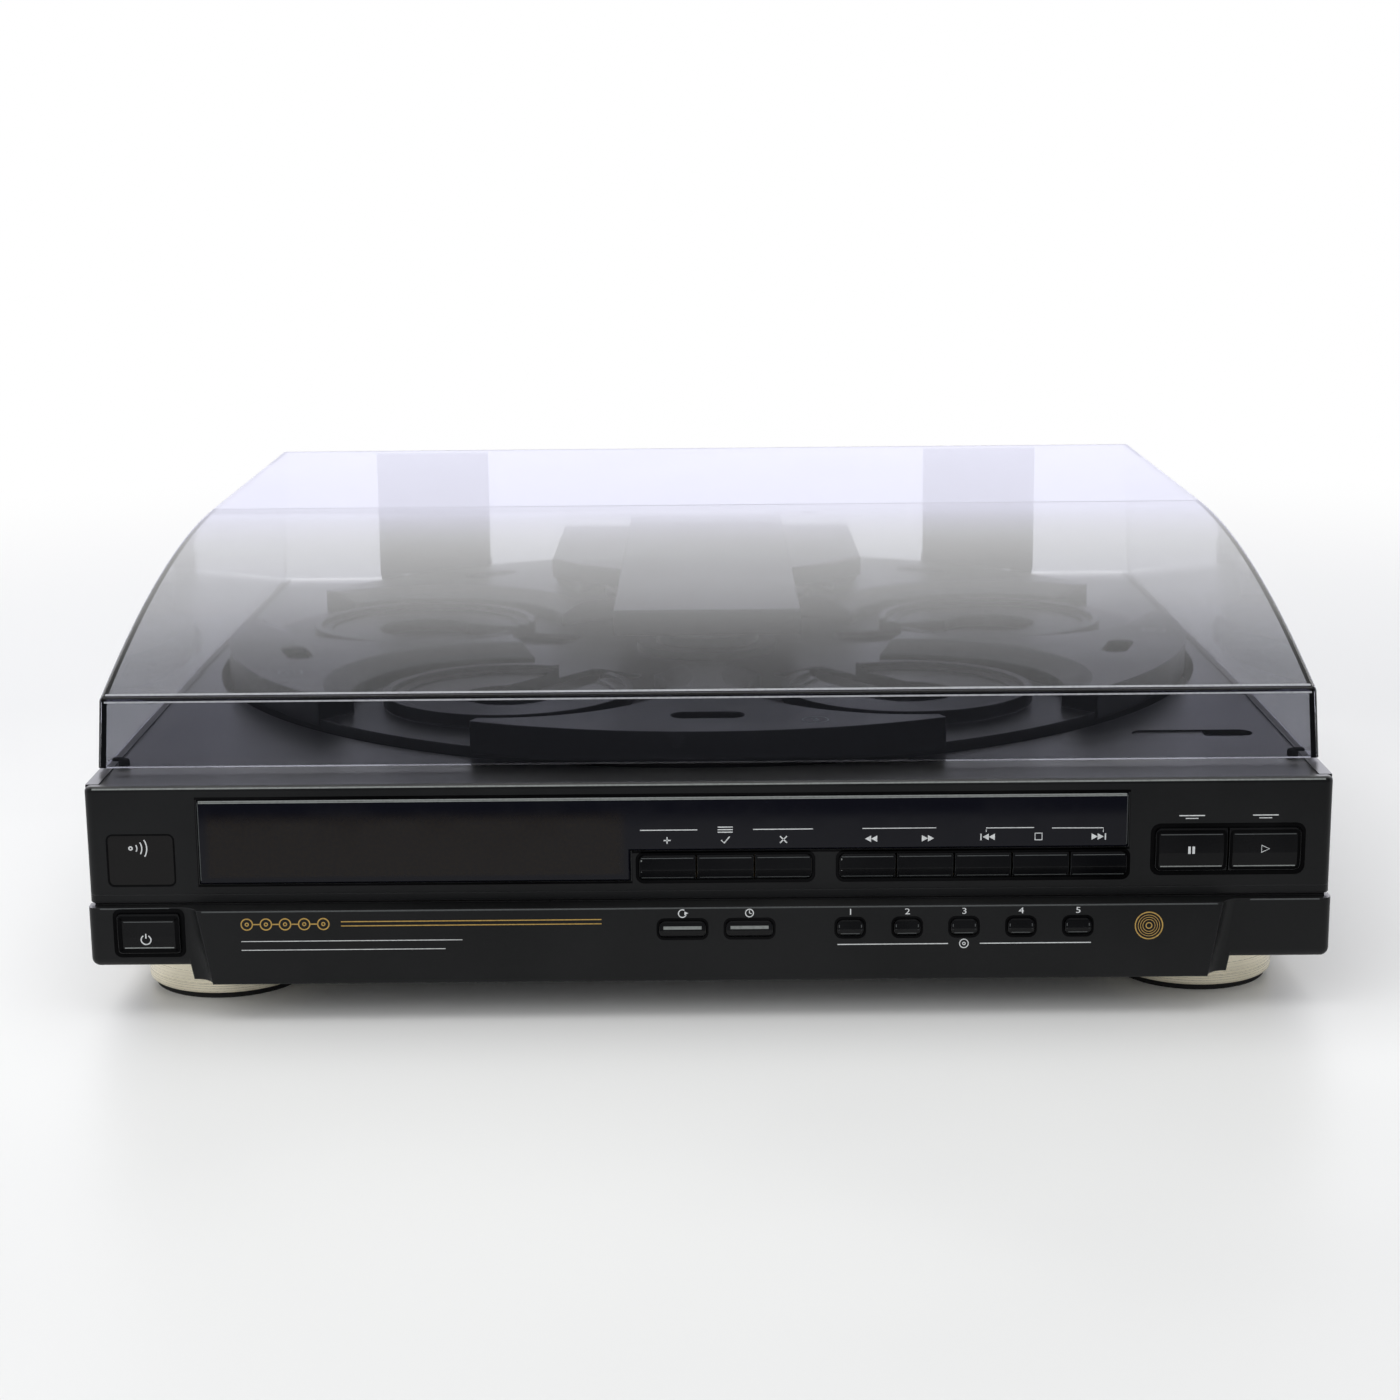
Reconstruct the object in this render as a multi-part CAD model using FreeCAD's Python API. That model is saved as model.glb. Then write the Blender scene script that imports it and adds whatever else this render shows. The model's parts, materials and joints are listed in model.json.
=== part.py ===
import FreeCAD, Part
import math
import os

from FreeCAD import Vector

# Five disc CD changer with a hinged clear lid over a rotating carousel.
# Millimetres. X is to the right, Y goes back, Z is up. The floor is Z = 0 and the origin
# is the centre of the object's outer box, seen from above.

# ---------------------------------------------------------------- cabinet
body_width = 430.0
body_depth = 434.0          # upper front face to rear face
bulge_out = 8.5             # how far the lower strip's middle stands forward of the upper panel
strip_bottom = 18.1
strip_height = 21.4
groove_height = 3.9         # shadow gap between lower strip and upper panel
groove_depth = 1.5
bezel_height = 38.6
bezel_thickness = 4.0
bezel_edge_radius = 1.8
bezel_corner_radius = 3.0
deck_drop = 0.4             # deck below the bezel's top edge
moulding_wall = 2.5
sheet = 1.2                 # steel sheet of pan and rear panel
pan_bottom = 17.0
rim_width = 4.5
rim_height = 0.5

# ---------------------------------------------------------------- lower strip
strip_forward = 2.5         # side blocks stand this far forward of the upper panel
strip_overhang = 0.35       # side blocks stand this far out past the body's sides
bulge_drop = 4.6
bulge_top_inset = 38.1      # bulge ends in from the body's sides, at its top and at its bottom
bulge_bottom_inset = 43.0
bulge_slope = 1.4           # bulge face leans forward by this much towards its bottom
bulge_end_width = 7.5       # concave run from bulge face to side block
strip_wall = 3.0

# ---------------------------------------------------------------- feet
pad_height = 2.2
foot_radius = 29.2
foot_ring_wall = 3.5
foot_pad_radius = 27.0
foot_inset = 39.8           # foot's middle in from the body's side
foot_setback = 43.5         # from the upper front face, and from the rear face

# ---------------------------------------------------------------- carousel and recess
carousel_setback = 226.7    # carousel axis behind the upper front face
recess_radius = 204.7
recess_depth = 12.1
lobe_radius = 201.0
plate_radius = 200.0
plate_height = 12.5         # underside of the carousel plate above the recess floor
plate_thickness = 2.5
lobe_height = 12.0          # lobe top above the carousel plate's underside
lobe_half_angle = 25.2
lobe_inner_radius = 84.0
lobe_wall = 2.5
wells = 5
well_offset = 131.0
guide_top_radius = 71.5
guide_bottom_radius = 61.0
guide_depth = 4.5
rib_outer_radius = 48.5
rib_inner_radius = 45.5
rib_height = 5.2            # rib top above the plate's top
small_disc_radius = 41.0
rib_step = 1.8
small_disc_step = 1.0
keyhole_radius = 20.0
keyhole_slot_width = 26.0
keyhole_slot_length = 70.0
finger_slot_length = 27.0
finger_slot_width = 10.5
finger_slot_corner = 5.0
finger_slot_offset = 175.5
skirt_height = 8.0
hub_radius = 22.0
hub_height = 8.0
hub_cap_radius = 30.0
hub_cap_height = 3.5
post_radius = 6.0
post_shoulder_radius = 11.0
running_clearance = 0.05
face_clearance = 0.3

# ---------------------------------------------------------------- gears
ring_module = 1.5
ring_teeth = 60
drive_pinion_teeth = 16
train_module = 1.0
drive_wheel_teeth = 48
motor_pinion_teeth = 12
loading_gear_teeth = 30
sled_module = 0.8
sled_gear_teeth = 24
gear_backlash = 0.16
gear_width = 5.0
drive_direction = -60.0     # degrees from +X, as seen from the carousel axis
motor_direction = -90.0     # degrees from +X, as seen from the drive gear

# ---------------------------------------------------------------- lid
lid_setback = 21.7
lid_rear_gap = 1.9          # lid's rear in front of the body's rear face
lid_gap = 1.8               # lid edge above the deck, the height of its rubber pads
lid_height = 59.9
lid_wall = 2.6
lid_side_inset = 0.4        # lid's lower edge inside the body's side face
lid_draft = 3.2             # lid narrower at the top, each side
lid_skirt_height = 24.6
lid_skirt_lean = 1.8
lid_flat_start = 215.0      # start of the flat top behind the lid's front edge
lid_edge_radius = 1.6
bumper_radius = 2.6
bumper_height = 5.0         # above the lid's lower edge
bumper_setback = 11.6       # behind the lid's front edge
lid_crease_radius = 1.8

# ---------------------------------------------------------------- hinges
hinge_inner = 109.0
hinge_outer = 164.5
hinge_leaf_thickness = 3.0
hinge_leaf_height = 55.0
hinge_axis_height = 6.4     # above the deck
hinge_axis_out = 5.3        # behind the rear face
hinge_knuckle_radius = 3.9
hinge_pin_radius = 2.0
hinge_ear_width = 10.5
hinge_base_thickness = 3.0
hinge_base_drop = 26.0      # foot of the base under the hinge axis
hinge_base_clearance = 8.0  # top of its plate under the hinge axis

# ---------------------------------------------------------------- bridge
bridge_gap = 6.5            # bridge underside above the lobes
bridge_height = 10.0
bridge_wall = 2.0
bridge_half_width = 38.0
bridge_edge_radius = 1.2
bridge_front = 59.0         # front end, in front of the carousel axis, just clear of the front discs
bridge_ridge = 2.0          # the narrow beam's top above the wide cover
bridge_cover_half_width = 71.0
bridge_cover_radius = 81.0
bridge_rear_gap = 6.5       # bridge rear in front of the rear face
bridge_leg_width = 11.0
bridge_leg_depth = 4.6

# ---------------------------------------------------------------- optical drive
disc_thickness = 1.2
lift_travel = 21.0
platter_radius = 14.0
platter_below_plate = 4.5   # platter top under the carousel plate's underside, at rest
platter_thickness = 2.6
cone_radius = 7.3
cone_height = 2.0
spindle_radius = 1.2
spindle_motor_radius = 12.5
spindle_motor_height = 14.5
frame_drop = 17.5           # frame plate's top below the platter's top
frame_thickness = 2.5
frame_half_width = 46.0
frame_front = 75.0          # in front of the spindle axis
frame_rear = 28.0
frame_wall = 2.0
frame_depth = 20.0          # overall depth of the frame's flanges
sled_start = 24.5           # lens in front of the spindle axis, at rest
sled_travel = 33.5
sled_half_width = 20.0
sled_half_length = 9.0
turret_half_width = 11.0
rod_radius = 1.5
rod_offset = 15.0
rod_drop = 8.0              # rods below the frame plate's top
guide_post_radius = 3.0
guide_post_side = 38.0
guide_post_front = 66.0
guide_post_rear = 20.0
clamper_radius = 11.8
clamper_flange_radius = 15.5
clamper_height = 5.0

# ---------------------------------------------------------------- chassis and lift slider
chassis_top = 36.0
chassis_thickness = 3.0
slider_thickness = 2.5
slider_gap = 2.0
slider_travel = 30.0
slider_pin_radius = 2.0
slider_slot_clearance = 0.2
slider_pin_front = 50.0
slider_pin_rear = 0.0
motor_radius = 12.0
motor_height = 14.0
axle_radius = 1.5

# ---------------------------------------------------------------- front panel furniture
window_left_inset = 38.6    # ends of the panel's openings, in from the body's nearer side
window_right_inset = 70.3
window_notch = -27.0        # where the window's tall left part ends
window_top_inset = 4.7
window_height = 19.5
window_tall_height = 30.3
window_thickness = 2.6
window_proud = 0.6
window_ledge = 2.0
ir_inset = 7.0
ir_width = 23.3
ir_bottom = 46.6
ir_top = 65.1
row_bottom = 47.0
row_height = 9.5
program_left = -24.4
program_right = 35.8
transport_left = 44.8
transport_inset = 70.4
play_inset = 10.5
play_width = 50.7
play_bottom = 48.8
play_height = 15.8
power_inset = 9.6
power_width = 22.2
power_bottom = 23.0
power_height = 14.8
power_travel = 3.0
small_row_bottom = 28.6
small_row_height = 6.4
repeat_center = -9.3
time_center = 13.8
mode_slot_width = 16.6
disc_button_pitch = 19.6
disc_button_middle = 87.7
disc_slot_width = 9.6
slot_corner_radius = 2.0
power_corner_radius = 1.2
button_gap = 0.35
button_travel = 0.8
button_proud = 1.0
button_flange = 1.2
stem_radius = 1.6
board_thickness = 1.6
board_setback = 12.0        # key board behind the upper front face
switch_height = 3.5
power_switch_depth = 24.0
power_switch_half_width = 7.0

# ---------------------------------------------------------------- electronics and rear
main_board_height = 7.0
main_board_inset = 6.0
main_board_setback = 60.0
main_board_side_gap = 26.0  # beside the optical drive's frame
transformer_size = 52.0
transformer_height = 40.0
transformer_inset = 50.0
transformer_setback = 60.0
transformer_core_depth = 36.0
transformer_coil_depth = 52.0
deck_slot_inset = 14.5
deck_slot_length = 44.5
deck_slot_setback = 68.0
deck_slot_width = 10.0
deck_slot_depth = 3.0
jack_radius = 4.0
jack_length = 9.0
jack_pitch = 16.0
jack_inset = 65.0           # outer jack in from the body's side
jack_height = 24.0          # above the pan's floor
inlet_inset = 53.0
inlet_width = 22.0
inlet_floor_gap = 10.0
inlet_height = 14.0
screw_head_radius = 3.2
screw_head_height = 1.8
rear_screw_inset = 15.0
rear_screw_half_pitch = 60.0
pan_screw_inset = 95.0
pan_screw_setback = 30.0

# ---------------------------------------------------------------- places worked out from the sizes
hinge_out = hinge_axis_out + hinge_knuckle_radius
front_y = bulge_out - (body_depth + bulge_out + hinge_out) / 2
rear_y = front_y + body_depth
half_width = body_width / 2
strip_top = strip_bottom + strip_height
panel_bottom = strip_top + groove_height
bezel_top = panel_bottom + bezel_height
deck_z = bezel_top - deck_drop
shell_front = front_y + bezel_thickness
carousel_y = front_y + carousel_setback
floor_z = deck_z - recess_depth
floor_bottom = floor_z - moulding_wall
plate_z = floor_z + plate_height
plate_top = plate_z + plate_thickness
lobe_top = plate_z + lobe_height
play_y = carousel_y + well_offset
bridge_z = lobe_top + bridge_gap
bridge_top = bridge_z + bridge_height
pan_floor = pan_bottom + sheet
platter_top = plate_z - platter_below_plate
frame_top = platter_top - frame_drop
frame_under = frame_top - frame_thickness
frame_bottom = frame_top - frame_depth
lid_bottom = deck_z + lid_gap
lid_top = lid_bottom + lid_height
lid_front = front_y + lid_setback
lid_depth = body_depth - lid_setback - lid_rear_gap
lid_rear = lid_front + lid_depth
lid_half_bottom = half_width - lid_side_inset
hinge_y = rear_y + hinge_axis_out
hinge_z = deck_z + hinge_axis_height
board_front = front_y + board_setback
bulge_half_top = half_width - bulge_top_inset
bulge_half_bottom = half_width - bulge_bottom_inset
foot_side = half_width - foot_inset
window_left = window_left_inset - half_width
window_right = half_width - window_right_inset
ir_left = ir_inset - half_width
ir_right = ir_left + ir_width
transport_right = half_width - transport_inset
play_right = half_width - play_inset
play_left = play_right - play_width
power_left = power_inset - half_width
power_right = power_left + power_width
deck_slot_right = half_width - deck_slot_inset
deck_slot_left = deck_slot_right - deck_slot_length

ring_pitch_radius = ring_module * ring_teeth / 2
drive_distance = ring_module * (ring_teeth + drive_pinion_teeth) / 2
drive_x = drive_distance * math.cos(math.radians(drive_direction))
drive_y = carousel_y + drive_distance * math.sin(math.radians(drive_direction))
pinion_distance = train_module * (drive_wheel_teeth + motor_pinion_teeth) / 2
carousel_motor_x = drive_x + pinion_distance * math.cos(math.radians(motor_direction))
carousel_motor_y = drive_y + pinion_distance * math.sin(math.radians(motor_direction))
slider_x = frame_half_width + slider_gap
slider_outer = slider_x + slider_thickness
rack_line = slider_outer + 3.5 + train_module
loading_radius = train_module * loading_gear_teeth / 2
loading_x = rack_line + loading_radius
loading_y = play_y - slider_travel
loading_distance = train_module * (loading_gear_teeth + motor_pinion_teeth) / 2
loading_motor_x = loading_x + loading_distance
wheel_z = chassis_top + 1.0
slider_pin_z = frame_bottom + slider_pin_radius + 1.0
sled_radius = sled_module * sled_gear_teeth / 2
sled_rack_line = -(sled_half_width + 2.6 + sled_module)
sled_gear_x = sled_rack_line - sled_radius
sled_gear_y = play_y - 36.0
sled_gear_z = frame_under - 12.5
rod_z = frame_top - rod_drop


# ================================================================ basic shapes
def box(x0, x1, y0, y1, z0, z1):
    return Part.makeBox(x1 - x0, y1 - y0, z1 - z0, Vector(x0, y0, z0))


def cyl(radius, x, y, z0, z1):
    return Part.makeCylinder(radius, z1 - z0, Vector(x, y, z0))


def cyl_y(radius, x, z, y0, y1):
    return Part.makeCylinder(radius, y1 - y0, Vector(x, y0, z), Vector(0, 1, 0))


def cyl_x(radius, y, z, x0, x1):
    return Part.makeCylinder(radius, x1 - x0, Vector(x0, y, z), Vector(1, 0, 0))


def cone(radius_low, radius_high, x, y, z0, z1):
    return Part.makeCone(radius_low, radius_high, z1 - z0, Vector(x, y, z0))


def prism_z(points, z0, z1):
    corners = [Vector(x, y, z0) for x, y in points]
    outline = Part.makePolygon(corners + corners[:1])
    return Part.Face(outline).extrude(Vector(0, 0, z1 - z0))


def prism_x(points, x0, x1):
    corners = [Vector(x0, y, z) for y, z in points]
    outline = Part.makePolygon(corners + corners[:1])
    return Part.Face(outline).extrude(Vector(x1 - x0, 0, 0))


def prism_y(points, y0, y1):
    corners = [Vector(x, y0, z) for x, z in points]
    outline = Part.makePolygon(corners + corners[:1])
    return Part.Face(outline).extrude(Vector(0, y1 - y0, 0))


def edges_along(shape, axis):
    found = []
    for edge in shape.Edges:
        if edge.Curve.TypeId != "Part::GeomLine":
            continue
        direction = edge.Curve.Direction
        if abs(abs(direction.dot(axis)) - 1.0) < 1e-6:
            found.append(edge)
    return found


def rounded_y(x0, x1, z0, z1, y0, y1, radius):
    block = box(x0, x1, y0, y1, z0, z1)
    limited = min(radius, (z1 - z0) / 2.05, (x1 - x0) / 2.05)
    return block.makeFillet(limited, edges_along(block, Vector(0, 1, 0)))


def rounded_z(x0, x1, y0, y1, z0, z1, radius):
    block = box(x0, x1, y0, y1, z0, z1)
    limited = min(radius, (y1 - y0) / 2.05, (x1 - x0) / 2.05)
    return block.makeFillet(limited, edges_along(block, Vector(0, 0, 1)))


def joined(shapes):
    if len(shapes) == 1:
        return shapes[0]
    return shapes[0].multiFuse(shapes[1:]).removeSplitter()


def group(shapes):
    return Part.makeCompound(shapes)


def mirrored(shape):
    return shape.mirror(Vector(0, 0, 0), Vector(1, 0, 0))


def turned(shape, degrees, x, y):
    copy = shape.copy()
    copy.rotate(Vector(x, y, 0), Vector(0, 0, 1), degrees)
    return copy


def polar(radius, degrees):
    angle = math.radians(degrees)
    return radius * math.cos(angle), carousel_y + radius * math.sin(angle)


# ================================================================ gear teeth
def involute(angle):
    return math.tan(angle) - angle


def gear_outline(teeth, module, x, y, tooth_direction):
    """Outline of a spur gear with a tooth centred on tooth_direction (degrees)."""
    pressure = math.radians(20.0)
    pitch = module * teeth / 2
    base = pitch * math.cos(pressure)
    tip = pitch + 0.85 * module
    root = pitch - 1.15 * module
    half_tooth = math.pi / (2 * teeth) - gear_backlash / (2 * pitch)
    low = max(base, root)
    flank = []
    for radius in (low, (low + pitch) / 2, pitch, (pitch + tip) / 2, tip):
        roll = math.acos(min(1.0, base / radius))
        flank.append((radius, half_tooth + involute(pressure) - involute(roll)))
    points = []
    for index in range(teeth):
        middle = math.radians(tooth_direction) + 2 * math.pi * index / teeth
        side = [(root, flank[0][1])] if root < low - 1e-6 else []
        for radius, half in side + flank:
            points.append((x + radius * math.cos(middle - half), y + radius * math.sin(middle - half)))
        for radius, half in reversed(side + flank):
            points.append((x + radius * math.cos(middle + half), y + radius * math.sin(middle + half)))
    return points


def gear(teeth, module, x, y, tooth_direction, z0, z1):
    return prism_z(gear_outline(teeth, module, x, y, tooth_direction), z0, z1)


def rack(line_x, facing, back_x, y0, y1, gap_y, module, z0, z1):
    """Rack along Y. Its teeth point along X by facing, and a gap is centred on gap_y."""
    pitch = math.pi * module
    slope = math.tan(math.radians(20.0))
    tip = 0.85 * module
    root = 1.15 * module
    half = pitch / 4 - gear_backlash / 2
    first = math.ceil((y0 - gap_y) / pitch)
    last = math.floor((y1 - gap_y) / pitch) - 1
    points = [(back_x, y0), (line_x - facing * root, y0)]
    for index in range(first, last + 1):
        middle = gap_y + (index + 0.5) * pitch
        points.append((line_x - facing * root, middle - half - root * slope))
        points.append((line_x + facing * tip, middle - half + tip * slope))
        points.append((line_x + facing * tip, middle + half - tip * slope))
        points.append((line_x - facing * root, middle + half + root * slope))
    points += [(line_x - facing * root, y1), (back_x, y1)]
    return prism_z(points, z0, z1)


# ================================================================ cabinet shells
def bottom_pan():
    side = half_width - groove_depth
    front = shell_front
    floor = box(-side, side, front, rear_y - sheet, pan_bottom, pan_floor)
    left = box(-side, -side + sheet, front, rear_y - sheet, pan_bottom, panel_bottom)
    right = mirrored(left)
    lip = box(-side, side, front, front + sheet, pan_bottom, strip_bottom + 3.0)
    slots = []
    for row in range(3):
        for column in range(9):
            x = -150.0 + 12.0 * column
            y = front_y + 90.0 + 45.0 * row
            slots.append(rounded_z(x, x + 4.0, y, y + 32.0, pan_bottom - 1, pan_floor + 1, 1.9))
    return joined([floor, left, right, lip]).cut(group(slots))


def recess_cut():
    return cyl(recess_radius, 0, carousel_y, floor_z, deck_z + 5)


def floor_opening():
    side = frame_half_width + 1.5
    return rounded_z(-side, side, play_y - frame_front - 1.5, play_y + frame_rear + 1.5,
                     floor_bottom - 1, floor_z + 1, 3.0)


def cabinet_top():
    outer = box(-half_width, half_width, shell_front, rear_y, panel_bottom, deck_z)
    inner_side = half_width - moulding_wall
    hollow = box(-inner_side, inner_side, shell_front - 1, rear_y + 1,
                 panel_bottom - 1, deck_z - moulding_wall)
    shell = outer.cut(hollow)
    bowl = cyl(recess_radius + moulding_wall, 0, carousel_y, floor_bottom, deck_z)
    bowl = bowl.common(box(-half_width, half_width, shell_front, rear_y, floor_bottom, deck_z))
    rear_wall = box(-inner_side, inner_side, rear_y - moulding_wall, rear_y, floor_bottom, deck_z)
    rim = box(-half_width, -half_width + rim_width, shell_front, rear_y, deck_z - 1, deck_z + rim_height)
    shell = joined([shell, bowl, rear_wall, rim, mirrored(rim)])
    shell = shell.cut(recess_cut()).cut(floor_opening())
    shell = shell.cut(cyl(post_shoulder_radius + 1.0, 0, carousel_y, floor_bottom - 1, floor_z + 1))
    pinion_hole = ring_module * (drive_pinion_teeth / 2 + 1) + 1.0
    shell = shell.cut(cyl(pinion_hole, drive_x, drive_y, floor_bottom - 1, floor_z + 1))
    return shell.cut(deck_slot(deck_slot_left, deck_slot_right, 0.0))


def deck_slot(left, right, inset):
    y = front_y + deck_slot_setback
    half = deck_slot_width / 2 - inset
    low = deck_z - deck_slot_depth
    middle = box(left + half + inset, right - half - inset, y - half, y + half, low, deck_z + 1)
    start = cyl(half, left + half + inset, y, low, deck_z + 1)
    end = cyl(half, right - half - inset, y, low, deck_z + 1)
    return joined([middle, start, end])


def deck_slot_cover():
    cover = deck_slot(deck_slot_left, deck_slot_right, 0.25)
    split = deck_slot_left + 0.6 * (deck_slot_right - deck_slot_left)
    low = deck_z - deck_slot_depth
    left = box(deck_slot_left - 1, split, -half_width * 2, half_width, low, deck_z - 0.6)
    right = box(split, deck_slot_right + 1, -half_width * 2, half_width, low, deck_z - 1.8)
    return cover.common(joined([left, right]))


def rear_panel():
    panel = box(-half_width + moulding_wall, half_width - moulding_wall, rear_y - sheet, rear_y,
                pan_bottom, floor_bottom)
    for x in jack_places():
        panel = panel.cut(cyl_y(jack_radius + 0.5, x, jack_z(), rear_y - sheet - 1, rear_y + 1))
    x0, x1, z0, z1 = inlet_window()
    return panel.cut(box(x0, x1, rear_y - sheet - 1, rear_y + 1, z0, z1))


def jack_places():
    outer = jack_inset - half_width
    return (outer, outer + jack_pitch)


def jack_z():
    return pan_floor + jack_height


def inlet_window():
    right = half_width - inlet_inset
    low = pan_floor + inlet_floor_gap
    return right - inlet_width, right, low, low + inlet_height


def audio_jacks():
    parts = []
    left, right = jack_places()
    back = rear_y - sheet
    body = box(left - 10, right + 10, back - 12, back, jack_z() - 9, jack_z() + 9)
    parts.append(body)
    for x in (left, right):
        barrel = cyl_y(jack_radius, x, jack_z(), back - 1, rear_y + jack_length)
        parts.append(barrel)
    jacks = joined(parts)
    for x in (left, right):
        jacks = jacks.cut(cyl_y(1.5, x, jack_z(), rear_y - 2, rear_y + jack_length + 1))
    return jacks


def ac_inlet():
    x0, x1, z0, z1 = inlet_window()
    gap = 0.2
    body = box(x0 + gap, x1 - gap, rear_y - 16, rear_y + 1.0, z0 + gap, z1 - gap)
    flange = box(x0 - 3, x1 + 3, rear_y, rear_y + 1.5, z0 - 3, z1 + 3)
    inlet = joined([body, flange])
    cavity = rounded_y(x0 + 2.2, x1 - 2.2, z0 + 2.2, z1 - 2.2, rear_y - 12, rear_y + 2, 4.0)
    inlet = inlet.cut(cavity)
    middle = (z0 + z1) / 2
    pins = [cyl_y(1.2, (x0 + x1) / 2 + side * 4.0, middle, rear_y - 13, rear_y - 2) for side in (-1, 1)]
    return joined([inlet] + pins)


# ================================================================ feet
def foot_places():
    rear = body_depth - foot_setback
    return [(side * foot_side, front_y + setback) for setback in (foot_setback, rear) for side in (-1, 1)]


def foot_rings():
    rings = []
    for x, y in foot_places():
        ring = cyl(foot_radius, x, y, pad_height, pan_bottom)
        rings.append(ring.cut(cyl(foot_radius - foot_ring_wall, x, y, pad_height - 1, pan_bottom + 1)))
    return group(rings)


def foot_pads():
    pads = []
    for x, y in foot_places():
        pad = cyl(foot_pad_radius, x, y, 0, pad_height)
        core = cyl(foot_radius - foot_ring_wall - 0.2, x, y, 0, pan_bottom)
        pads.append(joined([pad, core]))
    return group(pads)


# ================================================================ front panel
def l_outline(inset):
    """Window outline in X and Z, moved inward by inset."""
    top = bezel_top - window_top_inset
    return [(window_left + inset, top - inset), (window_right - inset, top - inset),
            (window_right - inset, top - window_height + inset),
            (window_notch - inset, top - window_height + inset),
            (window_notch - inset, top - window_tall_height + inset),
            (window_left + inset, top - window_tall_height + inset)]


def front_bezel():
    outer = box(-half_width, half_width, front_y, shell_front, panel_bottom, bezel_top)
    corners = [edge for edge in edges_along(outer, Vector(0, 0, 1))
               if edge.CenterOfMass.y < front_y + 0.01]
    outer = outer.makeFillet(bezel_corner_radius, corners)
    rim = [edge for edge in outer.Edges
           if edge.BoundBox.ZMin > bezel_top - 0.01 and edge.CenterOfMass.y < shell_front - 0.01]
    outer = outer.makeFillet(bezel_edge_radius, rim)
    through = [prism_y(l_outline(window_ledge), front_y - 1, shell_front + 1)]
    through.append(prism_y(l_outline(0), front_y - 1, front_y + window_thickness - window_proud))
    for x0, x1 in ((program_left, program_right), (transport_left, transport_right)):
        through.append(rounded_y(x0, x1, row_bottom, row_bottom + row_height,
                                 front_y - 1, shell_front + 1, slot_corner_radius))
    through.append(rounded_y(play_left, play_right, play_bottom, play_bottom + play_height,
                             front_y - 1, shell_front + 1, slot_corner_radius))
    through.append(rounded_y(ir_left, ir_right, ir_bottom, ir_top, front_y - 1, front_y + 2.0, 2.0))
    through.append(box(ir_left + 4, ir_right - 4, front_y, shell_front + 1, ir_bottom + 4, ir_top - 4))
    return outer.cut(group(through))


def display_window():
    plate = prism_y(l_outline(0.3), front_y - window_proud, front_y + window_thickness - window_proud)
    rim = [edge for edge in plate.Edges if edge.BoundBox.YMax < front_y - window_proud + 0.01]
    return plate.makeChamfer(0.5, rim)


def display_tube():
    top = bezel_top - window_top_inset
    left = window_left + 24.0
    right = window_notch - 14.0
    return box(left, right, shell_front + 0.3, board_front, top - window_tall_height + 4.0, top - 4.0)


def ir_window():
    return rounded_y(ir_left + 0.2, ir_right - 0.2, ir_bottom + 0.2, ir_top - 0.2,
                     front_y + 0.15, front_y + 2.0, 1.8)


def bulge_profile(z, half, forward):
    """Plan outline of the bulge at one height: flat face with a concave run at each end."""
    face_y = front_y - forward
    block_y = front_y - strip_forward
    back_y = front_y + 0.5
    middle = Vector(half + 0.22 * bulge_end_width, face_y + 0.62 * (block_y - face_y), z)
    corner = Vector(half, face_y, z)
    foot = Vector(half + bulge_end_width, block_y, z)
    back = Vector(half + bulge_end_width, back_y, z)

    def left(point):
        return Vector(-point.x, point.y, point.z)

    edges = [Part.LineSegment(left(corner), corner).toShape(),
             Part.Arc(corner, middle, foot).toShape(),
             Part.LineSegment(foot, back).toShape(),
             Part.LineSegment(back, left(back)).toShape(),
             Part.LineSegment(left(back), left(foot)).toShape(),
             Part.Arc(left(foot), left(middle), left(corner)).toShape()]
    return Part.Wire(edges)


def strip_outer():
    side = half_width + strip_overhang
    blocks = box(-side, side, front_y - strip_forward, shell_front, strip_bottom, strip_top)
    corners = [edge for edge in edges_along(blocks, Vector(0, 0, 1))
               if edge.CenterOfMass.y < front_y]
    blocks = blocks.makeFillet(bezel_corner_radius, corners)
    low = [edge for edge in edges_along(blocks, Vector(0, 1, 0)) if edge.BoundBox.ZMax < strip_bottom + 0.01]
    blocks = blocks.makeFillet(bezel_corner_radius, low)
    top = bulge_profile(strip_top, bulge_half_top, bulge_out - bulge_slope)
    bottom = bulge_profile(strip_bottom - bulge_drop, bulge_half_bottom, bulge_out)
    bulge = Part.makeLoft([bottom, top], True, True)
    return joined([blocks, bulge])


def slot_rows():
    """Slots of the lower strip as (left, right, bottom, top)."""
    bottom = small_row_bottom
    top = small_row_bottom + small_row_height
    rows = []
    for center in (repeat_center, time_center):
        rows.append((center - mode_slot_width / 2, center + mode_slot_width / 2, bottom, top))
    for index in range(5):
        center = disc_button_middle + (index - 2) * disc_button_pitch
        rows.append((center - disc_slot_width / 2, center + disc_slot_width / 2, bottom, top))
    return rows


def lower_strip():
    strip = strip_outer()
    reach = bulge_half_bottom - 4.0
    hollow_front = front_y - bulge_out + bulge_slope + strip_wall
    hollow = box(-reach, reach, hollow_front, shell_front + 1,
                 strip_bottom - bulge_drop + strip_wall, strip_top - strip_wall)
    strip = strip.cut(hollow)
    tongue = box(-half_width + groove_depth, half_width - groove_depth,
                 front_y + groove_depth, shell_front, strip_top - 1.0, panel_bottom)
    strip = joined([strip, tongue])
    holes = [rounded_y(x0, x1, z0, z1, front_y - bulge_out - 1, shell_front + 1, slot_corner_radius)
             for x0, x1, z0, z1 in slot_rows()]
    holes.append(rounded_y(power_left, power_right, power_bottom, power_bottom + power_height,
                           front_y - strip_forward - 1, shell_front + 1, power_corner_radius))
    return strip.cut(group(holes))


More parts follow.
